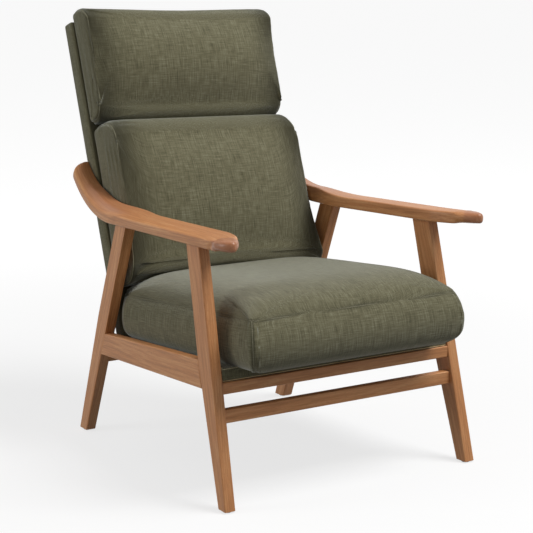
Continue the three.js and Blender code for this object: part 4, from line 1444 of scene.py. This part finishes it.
@dataclass
class Upholstery:
    """The seat deck, the back panel, the three loose cushions, and what is sewn or stapled to them.

    Attributes:
        drawing: The chair's drawing.
        deck_top: The deck's upper face over its place's plane.
        deck_half_widths: Half the deck's width at the front and the rear.
        deck_ends: The places of the deck's front and rear.
        puff: How far the deck's cover may puff up.
        pad_gap: The gap over and under the deck's pad.
        lining: The lining's thickness.
        lining_margin: How far the lining stays back from the deck's edge.
        lining_slack: How far the lining hangs down.
        staple: A staple's length, width and height.
        staple_pitch: The distance from one staple to the next.
        staple_inset: How far the staples stay back from the lining's edge.
        rail_depth: The depth of the front rail, which hides the lining's front edge.
        strip: The link strip's thickness.
        strip_half_width: Half its width.
        strip_ends: The places of its ends along the back.
        zip_half: Half a zip's length.
        zip_tooth: A tooth's length, width and height.
        zip_pitch: The distance from one tooth to the next.
        seat_zip: The seat cushion's zip, along and over the deck.
        back_zip: The back cushion's zip, up the back and ahead of it.
        head_zip: The head cushion's zip, up the back and ahead of it.
    """

    drawing: Drawing
    deck_top: float = 30.3 * MM
    deck_half_widths: tuple[float, float] = (304.6 * MM, 279.6 * MM)
    deck_ends: tuple[float, float] = (3 * MM, 522.9 * MM)
    puff: float = 0.5 * MM
    pad_gap: float = FIT / 2
    lining: float = 0.8 * MM
    lining_margin: float = 1.9 * MM
    lining_slack: float = 4 * MM
    staple: Point = (10 * MM, 1.2 * MM, 0.6 * MM)
    staple_pitch: float = 42 * MM
    staple_inset: float = 8 * MM
    rail_depth: float = 22 * MM
    strip: float = 1.2 * MM
    strip_half_width: float = 220 * MM
    strip_ends: tuple[float, float] = (717.5 * MM, 807.5 * MM)
    zip_half: float = 158 * MM
    zip_tooth: Point = (0.8 * MM, 0.8 * MM, 4.2 * MM)
    zip_pitch: float = 1.6 * MM
    seat_zip: tuple[float, float] = (529.2 * MM, 82.6 * MM)
    back_zip: tuple[float, float] = (418 * MM, 44.6 * MM)
    head_zip: tuple[float, float] = (823 * MM, 44.6 * MM)

    def back_panel(self) -> None:
        """Builds the padded back panel."""
        thickness = self.drawing.back_thickness
        BackPanel(place=self.drawing.back_place, heights=(thickness, thickness)).fit()

    def deck(self) -> None:
        """Builds the padded deck and, stapled below it, its lining."""
        place = self.drawing.deck_place
        lift = FIT + self.lining + self.pad_gap
        thickness = self.deck_top - self.pad_gap - lift
        half_widths, ends = self._deck_within(self.puff)
        DeckPad(
            place=place,
            lift=lift,
            half_widths=half_widths,
            ends=ends,
            heights=(thickness, thickness),
            padding=Padding(cap=self.puff),
        ).fit()
        half_widths, ends = self._deck_within(self.lining_margin)
        lining = FlatCloth(
            "deck_lining", place, half_widths, ends, FIT, self.lining, slack=self.lining_slack
        )
        sheet = put_on(lining.build(SPUN_LINING), Body.FRAME, "lining_cloth", "dust_cloth")
        self._staples(lining)

    def _deck_within(self, margin: float) -> tuple[tuple[float, float], tuple[float, float]]:
        """The deck's half widths and ends, less a margin all round."""
        front, rear = self.deck_half_widths
        start, end = self.deck_ends
        return (front - margin, rear - margin), (start + margin, end - margin)

    def _staples(self, lining: FlatCloth) -> bpy.types.Object:
        """Sets a row of staples along the lining's edges."""
        start = lining.ends[0] + self.staple_inset + self.rail_depth
        end = lining.ends[1] - self.staple_inset
        front, rear = (half - self.staple_inset for half in lining.half_widths)
        corners = [(-front, start, 0), (front, start, 0), (rear, end, 0), (-rear, end, 0)]
        growth = row_growth("staples", ZINC_STEEL.material, self.staple_pitch, self.staple)
        line = in_place(np.array(corners), lining.place)
        staples = growth.grow("lining_staples", *wires([line], [True]))
        return put_on(staples, Body.FRAME, "bolt_steel")

    def cushions(self) -> None:
        """Builds the three loose cushions, the seat last, because the back cushion presses into it."""
        back = self.drawing.back_place
        behind = self.drawing.back_thickness + FIT + self.strip + FIT
        BackCushion(place=back, lift=behind).fit()
        HeadCushion(place=back, lift=behind).fit()
        SeatCushion(place=self.drawing.deck_place, lift=self.deck_top + FIT).fit()

    def link_strip(self) -> None:
        """Hangs the strip of cloth that joins the back and head cushions behind."""
        strip = FlatCloth(
            "link_strip",
            self.drawing.back_place,
            half_widths=(self.strip_half_width, self.strip_half_width),
            ends=self.strip_ends,
            lift=self.drawing.back_thickness + FIT,
            thickness=self.strip,
        )
        piece = put_on(strip.build(SlubWeave()), Body.BACKS, "upholstery_fabric", "cushion_link_strip")

    def zips(self) -> None:
        """Sets the coils' teeth on the three zips."""
        back = self.drawing.back_place
        rows = {
            "seat": (Body.SEAT, self.drawing.deck_place, self.seat_zip),
            "back": (Body.BACKS, back, self.back_zip),
            "head": (Body.BACKS, back, self.head_zip),
        }
        for name, (body, place, at) in rows.items():
            ends = in_place(np.array([(x, *at) for x in (-self.zip_half, self.zip_half)]), place)
            growth = row_growth(f"{name}_zip_coil", ZIP_COIL.material, self.zip_pitch, self.zip_tooth)
            teeth = growth.grow(f"{name}_cushion_zip_teeth", *wires([ends], [False]))
            put_on(teeth, body, "zip_tape")


class Station(NamedTuple):
    """The place and shape of one section along an arm."""

    y: float
    z: float
    heading: float
    straight: float
    thickness: float
    sweep: float = 0.0
    inset: float = 0.0


@dataclass
class Arm:
    """A shaped arm: straight, with a carved nose, and sweeping up to the back.

    Places along it are those of the drawing. Edges are measured out from the side frame's outer face.

    Attributes:
        drawing: The chair's drawing.
        underside: The height of the straight part's underside at Y = 0.
        fall: How much the straight part falls to the rear.
        thickness: Its thickness.
        inside: How far it reaches in.
        outside: How far it reaches out.
        nose_end: The place of the nose's tip.
        nose_length: The length over which the nose thins out.
        nose_thickness: The thickness that it thins out to.
        nose_drop: How far the tip drops.
        nose_inset: How far the tip lies in from the outer edge.
        nose_turn: How far round the inner curve the first section lies.
        tip_steepness: How soon the sections grow from the tip.
        inner_curve: The length of the nose's inner curve.
        outer_curve: The length of its outer curve.
        inner_roundness: The power of the inner curve.
        cove_from: The distance from the tip to the cove that parts the nose from the arm.
        cove_slant: How far the cove slants on each side.
        cove_width: Its width.
        cove_depth: Its depth.
        cove_shares: The shares across where it begins and where it is full.
        sweep_start: The place where the arm begins to sweep up.
        narrow_length: The length over which it narrows before that.
        sweep_radius: The sweep's radius.
        sweep_angle: The sweep's angle.
        sweep_ease: How much closer the sections lie to the rear.
        tail_thickness: The thickness at the rear end.
        tail_outside: How far the rear end reaches out.
        tail_round: The rounding of its outer corner, in plan.
        back_half_width: Half the width of the back panel, which the rear end lies against.
        end_round: The rounding at the rear end.
        end_inset_share: The share of that rounding which the last section has.
        flare: How far the inner edge keeps out where it stands higher.
        inner_rise: How much higher the inner edge stands where the sweep begins.
        ridge_share: The share of that rise which the ridge has.
        rise_places: The places where the rise begins, is full, begins to fall and ends.
        touched_top_shares: The heights in the section where the top's painted shade begins and is full.
        touched_side_shares: The shares across where that painted shade ends and where it is full.
        touched_share: How strong the painted shade on the top is all along.
        touched_rise_share: How much stronger it is where it stands highest.
        corner_shares: The section's corners, as shares of half its width and height.
        corner_reaches: How far each corner's rounding reaches.
        reach_share: The most that a rounding takes of an edge.
        oval_power: How square the nose's oval section is.
        edge_steps: The steps along each edge of the section.
        nose_steps: The sections along the nose.
        plain_steps: The sections along the straight part.
        sweep_steps: The sections along the sweep.
    """

    drawing: Drawing
    underside: float = 551 * MM
    fall: float = math.radians(1.9)
    thickness: float = 28.5 * MM
    inside: float = 56.4 * MM
    outside: float = 22.4 * MM
    nose_end: float = -382 * MM
    nose_length: float = 74 * MM
    nose_thickness: float = 18 * MM
    nose_drop: float = 3 * MM
    nose_inset: float = 26 * MM
    nose_turn: float = math.radians(88)
    tip_steepness: float = 3
    inner_curve: float = 117 * MM
    outer_curve: float = 52 * MM
    inner_roundness: float = 1.5
    cove_from: float = 44 * MM
    cove_slant: float = 16 * MM
    cove_width: float = 6 * MM
    cove_depth: float = 2.6 * MM
    cove_shares: tuple[float, float] = (0.35, 0.75)
    sweep_start: float = 182 * MM
    narrow_length: float = 90 * MM
    sweep_radius: float = 288 * MM
    sweep_angle: float = math.radians(50)
    sweep_ease: float = 1.5
    tail_thickness: float = 25 * MM
    tail_outside: float = 15 * MM
    tail_round: float = 34 * MM
    back_half_width: float = 256 * MM
    end_round: float = 3 * MM
    end_inset_share: float = 0.9
    flare: float = 6 * MM
    inner_rise: float = 13 * MM
    ridge_share: float = 0.7
    rise_places: tuple[float, ...] = (40 * MM, 200 * MM, 290 * MM, 375 * MM)
    # Painted shade on the arms' tops; the noses are worn
    touched_top_shares: tuple[float, float] = (0.25, 0.5)
    touched_side_shares: tuple[float, float] = (11 / 12, 0.5)
    touched_share: float = 0.35
    touched_rise_share: float = 0.5
    corner_shares: tuple[tuple[float, float], ...] = (
        (-1, -1),
        (0.9, -1),
        (1, 0.5),
        (0.15, 1),
        (-0.97, 0.88),
    )
    corner_reaches: tuple[float, ...] = (4 * MM, 5 * MM, 5 * MM, 20 * MM, 6 * MM)
    reach_share: float = 0.3
    oval_power: float = 2.5
    edge_steps: tuple[int, ...] = (7, 3, 4, 5, 3)
    nose_steps: int = 40
    plain_steps: int = 24
    sweep_steps: int = 44

    def build(self, hand: Hand) -> bpy.types.Object:
        """Builds one arm.

        Args:
            hand: Its side.

        Returns:
            The finished piece.
        """
        points = []
        grain = []
        touched = []
        path = 0.0
        last = None
        zero = self.drawing.zero
        for y, z, heading, straight, thickness, sweep, inset in self._stations():
            inner, outer = self._edges(y, z, sweep)
            width = outer - inner - 2 * inset
            if last is not None:
                path += math.dist(last, (y, z))
            last = (y, z)
            rise = self._rise(y)
            for share, up in self._section(width, thickness - 2 * inset, straight, rise):
                across = share * width / 2
                cove = self._cove(path, share, up / thickness)
                at_y = y - math.sin(heading) * up + zero
                at_z = z + math.cos(heading) * up - cove * max(up / thickness, 0)
                x = self.drawing.side_x(at_y, at_z) + (inner + outer) / 2 + across - cove
                points.append((x * hand.value, at_y, at_z))
                grain.append((across, up, path))
                touched.append(self._touched(path, share, up / thickness, rise))
        around = sum(self.edge_steps) + len(self.corner_shares) * ROUNDING_STEPS
        faces = tube_faces(len(points) // around, around)
        if hand is Hand.RIGHT:
            faces = [f[::-1] for f in faces]
        piece = mesh_object(f"arm_{hand.word}_shaped", np.array(points), faces)
        store_grain(piece.data, np.array(grain) + BOARD_STEP * hand.value, np.array(touched))
        dress(piece, StainedBeech())
        return put_on(piece, Body.FRAME, "frame_wood", f"arm_{hand.word}")

    def _touched(self, path: float, share: float, up: float, rise: float) -> float:
        """How worn a place is, and how much shade is painted on it: all of the nose is worn, and the
        top has painted shade, most of all where it rises.

        Args:
            path: The distance from the nose's tip.
            share: The place across, from -1 inside to 1 outside.
            up: The place over the section's middle, as a share of the thickness.
            rise: How much higher the inner edge stands there.

        Returns:
            A share from 0 to 1.
        """
        edge = self.cove_from + self.cove_slant * share
        on_nose = ramped(edge - path, -self.cove_width / 2, self.cove_width / 2)
        # The nose is worn; the top gets painted shade, strongest where the inner edge rises
        on_top = ramped(up, *self.touched_top_shares) * ramped(share, *self.touched_side_shares)
        top_shade_strength = self.touched_share + self.touched_rise_share * rise / self.inner_rise
        return max(on_nose, on_top * top_shade_strength)

    def _height(self, y: float) -> float:
        """The height of the arm's middle along its straight part."""
        return self.underside - math.tan(self.fall) * y + self.thickness / 2

    def _stations(self) -> list[Station]:
        """The sections along the arm, from the nose's tip to the rear end."""
        found = []
        for i in range(self.nose_steps, -1, -1):
            turn = self.nose_turn * i / self.nose_steps
            y = self.nose_end + self.inner_curve * (1 - math.sin(turn))
            into = ramped(y, self.nose_end + self.nose_length, self.nose_end)
            fullness = math.sqrt(1 - into**2)
            thickness = self.nose_thickness + (self.thickness - self.nose_thickness) * fullness
            z = self._height(y) - (self.thickness - thickness) / 2 + self.nose_drop * (1 - fullness)
            cove = self.nose_end + self.cove_from
            straight = ramped(y, cove, cove + self.cove_width)
            tip = math.sqrt(min(fullness * self.tip_steepness, 1))
            found.append(Station(y, z, -self.fall, straight, thickness * tip))
        start = self.nose_end + self.inner_curve
        for i in range(1, self.plain_steps):
            y = start + (self.sweep_start - start) * i / self.plain_steps
            found.append(Station(y, self._height(y), -self.fall, 1.0, self.thickness))
        low = self._height(self.sweep_start)
        for i in range(self.sweep_steps + 1):
            share = 1 - (1 - i / self.sweep_steps) ** self.sweep_ease
            heading = -self.fall + self.sweep_angle * share
            y = self.sweep_start + self.sweep_radius * (math.sin(heading) + math.sin(self.fall))
            z = low + self.sweep_radius * (math.cos(self.fall) - math.cos(heading))
            thickness = self.thickness + (self.tail_thickness - self.thickness) * share
            left = (1 - share) * self.sweep_angle * self.sweep_radius
            into = 1 - min(left / self.end_round, 1)
            inset = self.end_round * (1 - math.sqrt(1 - into**2)) * self.end_inset_share
            found.append(Station(y, z, heading, 1.0, thickness, share, inset))
        return found

    def _edges(self, y: float, z: float, sweep: float) -> tuple[float, float]:
        """The inner and outer edge, out from the side frame's outer face.

        Args:
            y: The place along the drawing.
            z: The height.
            sweep: The share of the upward sweep that is done.

        Returns:
            The inner edge and the outer edge.
        """
        beside = self.back_half_width + FIT - self.drawing.side_x(y + self.drawing.zero, z)
        beside += self.flare * self._rise(y) / self.inner_rise
        leaving = eased(ramped(y, self.sweep_start - self.narrow_length, self.sweep_start))
        inner = -self.inside + (beside + self.inside) * leaving
        left = min((1 - sweep) * self.sweep_angle * self.sweep_radius / self.tail_round, 1)
        rounding = self.tail_round * (1 - math.sqrt(1 - (1 - left) ** 2))
        outer = self.outside + (self.tail_outside - self.outside) * sweep - rounding
        tip = self.outside - self.nose_inset
        into = ramped(y, self.nose_end + self.inner_curve, self.nose_end)
        inner = tip + (inner - tip) * (1 - into**self.inner_roundness) ** (1 / self.inner_roundness)
        into = ramped(y, self.nose_end + self.outer_curve, self.nose_end)
        return inner, tip + (outer - tip) * math.sqrt(1 - into**2)

    def _cove(self, path: float, share: float, up: float) -> float:
        """How deep the carved cove is that parts the nose from the arm's outer side."""
        place = (path - self.cove_from - self.cove_slant * (share - 2 * up)) / self.cove_width
        return self.cove_depth * math.exp(-(place**2)) * ramped(share, *self.cove_shares)

    def _rise(self, y: float) -> float:
        """How much higher the inner edge stands where the arm begins to sweep up."""
        start, full, still, end = self.rise_places
        return self.inner_rise * eased(ramped(y, start, full)) * eased(ramped(y, end, still))

    def _section(
        self, width: float, height: float, straight: float, rise: float
    ) -> list[tuple[float, float]]:
        """The arm's section as shares of half the width, and heights over its middle.

        Args:
            width: The section's width.
            height: The section's height.
            straight: 1 for the carved section with its ridge, and 0 for an oval.
            rise: How much higher the inner edge stands.

        Returns:
            A share across and a height for each point, anticlockwise from the inner lower corner.
        """
        size = np.array([max(width, MM) / 2, height / 2])
        corners = np.array(self.corner_shares) * size
        # The last corner is the inner upper one, and the one before it is the ridge
        corners[3, 1] += self.ridge_share * rise
        corners[4, 1] += rise
        found = []
        count = len(corners)
        for k in range(count):
            here, after = corners[k], corners[(k + 1) % count]
            into = self._beside(here, corners[k - 1], self.corner_reaches[k])
            out = self._beside(here, after, self.corner_reaches[k])
            far = self._beside(after, here, self.corner_reaches[(k + 1) % count])
            for t in np.linspace(0, 1, ROUNDING_STEPS):
                found.append((1 - t) ** 2 * into + 2 * t * (1 - t) * here + t**2 * out)
            steps = self.edge_steps[k]
            found += [out + (far - out) * (i + 1) / (steps + 1) for i in range(steps)]
        shares = np.array(found) / size
        power = self.oval_power
        oval = shares / (np.abs(shares) ** power).sum(1, keepdims=True) ** (1 / power)
        shares = oval + (shares - oval) * straight
        return [(across, up * height / 2) for across, up in shares]

    def _beside(self, corner: np.ndarray, other: np.ndarray, reach: float) -> np.ndarray:
        """Where a corner's rounding leaves the edge that goes to another corner."""
        length = np.linalg.norm(other - corner)
        return corner + (other - corner) / length * min(reach, self.reach_share * length)


@dataclass
class Studio:
    """A pale floor, soft light and a camera at the photograph's angle.

    Attributes:
        floor_radius: The floor's radius.
        floor_sides: The number of its sides.
        aim_height: The height at which the lamps are aimed.
        eye: The camera's place.
        yaw: How far the camera is turned to the right of the chair's rear.
        pitch: How far it looks up.
        focal_pixels: Its focal length, in the photograph's pixels.
        frame_pixels: The photograph's width, in pixels.
        sensor: The sensor's width, in Blender's millimetres.
        ambient: The strength of the light from all round.
        key_power: The key lamp's power, in watts.
        key_size: Its width.
        key_from: Its place.
        rim_power: The rim lamp's power, in watts.
        rim_size: Its width.
        rim_from: Its place.
        backdrop: The background's colour.
        floor_seen: The floor's grey as the camera sees it.
        floor_bounce: Its grey for the light that it throws on the chair.
        floor_glow: The glow near the chair that the camera sees on the floor.
        far_glow: The glow far from it.
        glow_from: The distance at which the one begins to give way to the other.
        glow_to: The distance at which it has.
    """

    floor_radius: float = 40.0
    floor_sides: int = 64
    aim_height: float = 0.5
    eye: Point = (-2.1649, -3.39767, 1.2201)
    yaw: float = 0.576
    pitch: float = -0.194
    focal_pixels: float = 1727.2
    frame_pixels: float = 533.0
    sensor: float = 36.0
    ambient: float = 0.3
    key_power: float = 230.0
    key_size: float = 2.8
    key_from: Point = (1.9, -2.2, 4.7)
    rim_power: float = 54.0
    rim_size: float = 2.0
    rim_from: Point = (-4.2, 1.2, 1.6)
    backdrop: str = "#fdfdfd"
    floor_seen: float = 0.25
    floor_bounce: float = 0.18
    floor_glow: float = 0.73
    far_glow: float = 0.87
    glow_from: float = 0.9
    glow_to: float = 3.2

    def build(self) -> None:
        """Builds the floor, the lights and the camera."""
        self._floor()
        self._world()
        self._lamp("key", self.key_power, self.key_size, self.key_from)
        self._lamp("rim", self.rim_power, self.rim_size, self.rim_from)
        self._camera()
        bpy.context.scene.view_settings.view_transform = "Standard"

    def _seen(self, s: Shading) -> bpy.types.NodeSocket:
        """1 for rays from the camera, reflections and glass, and 0 for the light on the object."""
        path = s.node("ShaderNodeLightPath").outputs
        seen = s.sum("MAXIMUM", path["Is Camera Ray"], path["Is Glossy Ray"])
        return s.sum("MAXIMUM", seen, path["Is Transmission Ray"])

    def _floor(self) -> None:
        """Lays a round floor, seen as white, that keeps the chair's shadow."""
        turns = [TAU * i / self.floor_sides for i in range(self.floor_sides)]
        rim = [(self.floor_radius * math.cos(t), self.floor_radius * math.sin(t), 0) for t in turns]
        floor = mesh_object("floor", np.array(rim), [range(self.floor_sides)])
        s = Shading(bpy.data.materials.new("white_studio_floor"))
        seen = self._seen(s)
        grey = s.between(seen, self.floor_bounce, self.floor_seen)
        matt = s.node("ShaderNodeBsdfDiffuse", {"Color": grey})
        place = s.node("ShaderNodeTexCoord").outputs["Object"]
        far = s.node("ShaderNodeVectorMath", {0: place}, operation="LENGTH").outputs["Value"]
        reach = {0: far, 1: self.glow_from, 2: self.glow_to, 3: self.floor_glow, 4: self.far_glow}
        glowing = s.node("ShaderNodeMapRange", reach, interpolation_type="SMOOTHSTEP").outputs[0]
        strength = s.sum("MULTIPLY", seen, glowing)
        glow = s.node("ShaderNodeEmission", {"Color": (1, 1, 1, 1), "Strength": strength})
        both = s.node("ShaderNodeAddShader", {0: matt.outputs[0], 1: glow.outputs[0]})
        s.node("ShaderNodeOutputMaterial", {"Surface": both.outputs[0]})
        floor.data.materials.append(s.owner)

    def _world(self) -> None:
        """Lights the chair evenly from all round, before a white background."""
        s = Shading(bpy.data.worlds.new("studio"))
        strength = s.between(self._seen(s), self.ambient, 1)
        sky = {"Color": linear(self.backdrop), "Strength": strength}
        background = s.node("ShaderNodeBackground", sky)
        s.node("ShaderNodeOutputWorld", {"Surface": background.outputs[0]})
        bpy.context.scene.world = s.owner

    def _lamp(self, name: str, power: float, size: float, place: Point) -> None:
        """Hangs a large soft round lamp, turned to the chair."""
        lamp = bpy.data.lights.new(name, "AREA")
        lamp.shape = "DISK"
        lamp.size = size
        lamp.energy = power
        light = bpy.data.objects.new(name, lamp)
        bpy.context.scene.collection.objects.link(light)
        light.location = place
        aim = Vector((0, 0, self.aim_height)) - light.location
        light.rotation_euler = aim.to_track_quat("-Z", "Y").to_euler()

    def _camera(self) -> None:
        """Places the camera as it was for the photograph."""
        lens = bpy.data.cameras.new("camera")
        lens.sensor_width = self.sensor
        lens.lens = self.focal_pixels / self.frame_pixels * self.sensor
        lens.clip_end = 4 * self.floor_radius
        camera = bpy.data.objects.new("camera", lens)
        bpy.context.scene.collection.objects.link(camera)
        camera.location = self.eye
        camera.rotation_euler = Euler((QUARTER + self.pitch, 0, -self.yaw))
        bpy.context.scene.camera = camera


def dress_inner_pieces() -> None:
    """Finishes the pieces of the frame that are kept as they are."""
    finishes = {
        "glide": MOULDED_GLIDE,
        "zip": DYED_TAPE,
        "bolt": ZINC_STEEL,
        "insert": TURNED_BRASS,
        "strap": ELASTIC_WEBBING,
        "foam": CUT_FOAM,
        "side_batten": SawnSoftwood(Grain.REARWARD),
        "batten": SawnSoftwood(Grain.ACROSS),
        "stile": SawnSoftwood(Grain.UPWARD),
        "rail": SawnSoftwood(Grain.ACROSS),
    }
    for name, node in frame["nodes"].items():
        if not node.hide_render:
            dress(node, next(finish for word, finish in finishes.items() if word in name))


def main() -> None:
    """Builds the chair, sub-assembly by sub-assembly."""
    logging.basicConfig(level=logging.INFO, format="%(message)s")
    Studio().build()
    drawing = Drawing()
    timber = Joinery()
    for hand in Hand:
        for stem in ("front_leg", "rear_leg", "side_rail"):
            timber.member(f"{stem}_{hand.word}")
        Arm(drawing).build(hand)
    for node in ("front_seat_rail", "front_stretcher", "rear_seat_rail"):
        timber.member(node)
    upholstery = Upholstery(drawing)
    upholstery.back_panel()
    upholstery.deck()
    upholstery.cushions()
    upholstery.link_strip()
    upholstery.zips()
    dress_inner_pieces()


if __name__ == "__main__":
    main()
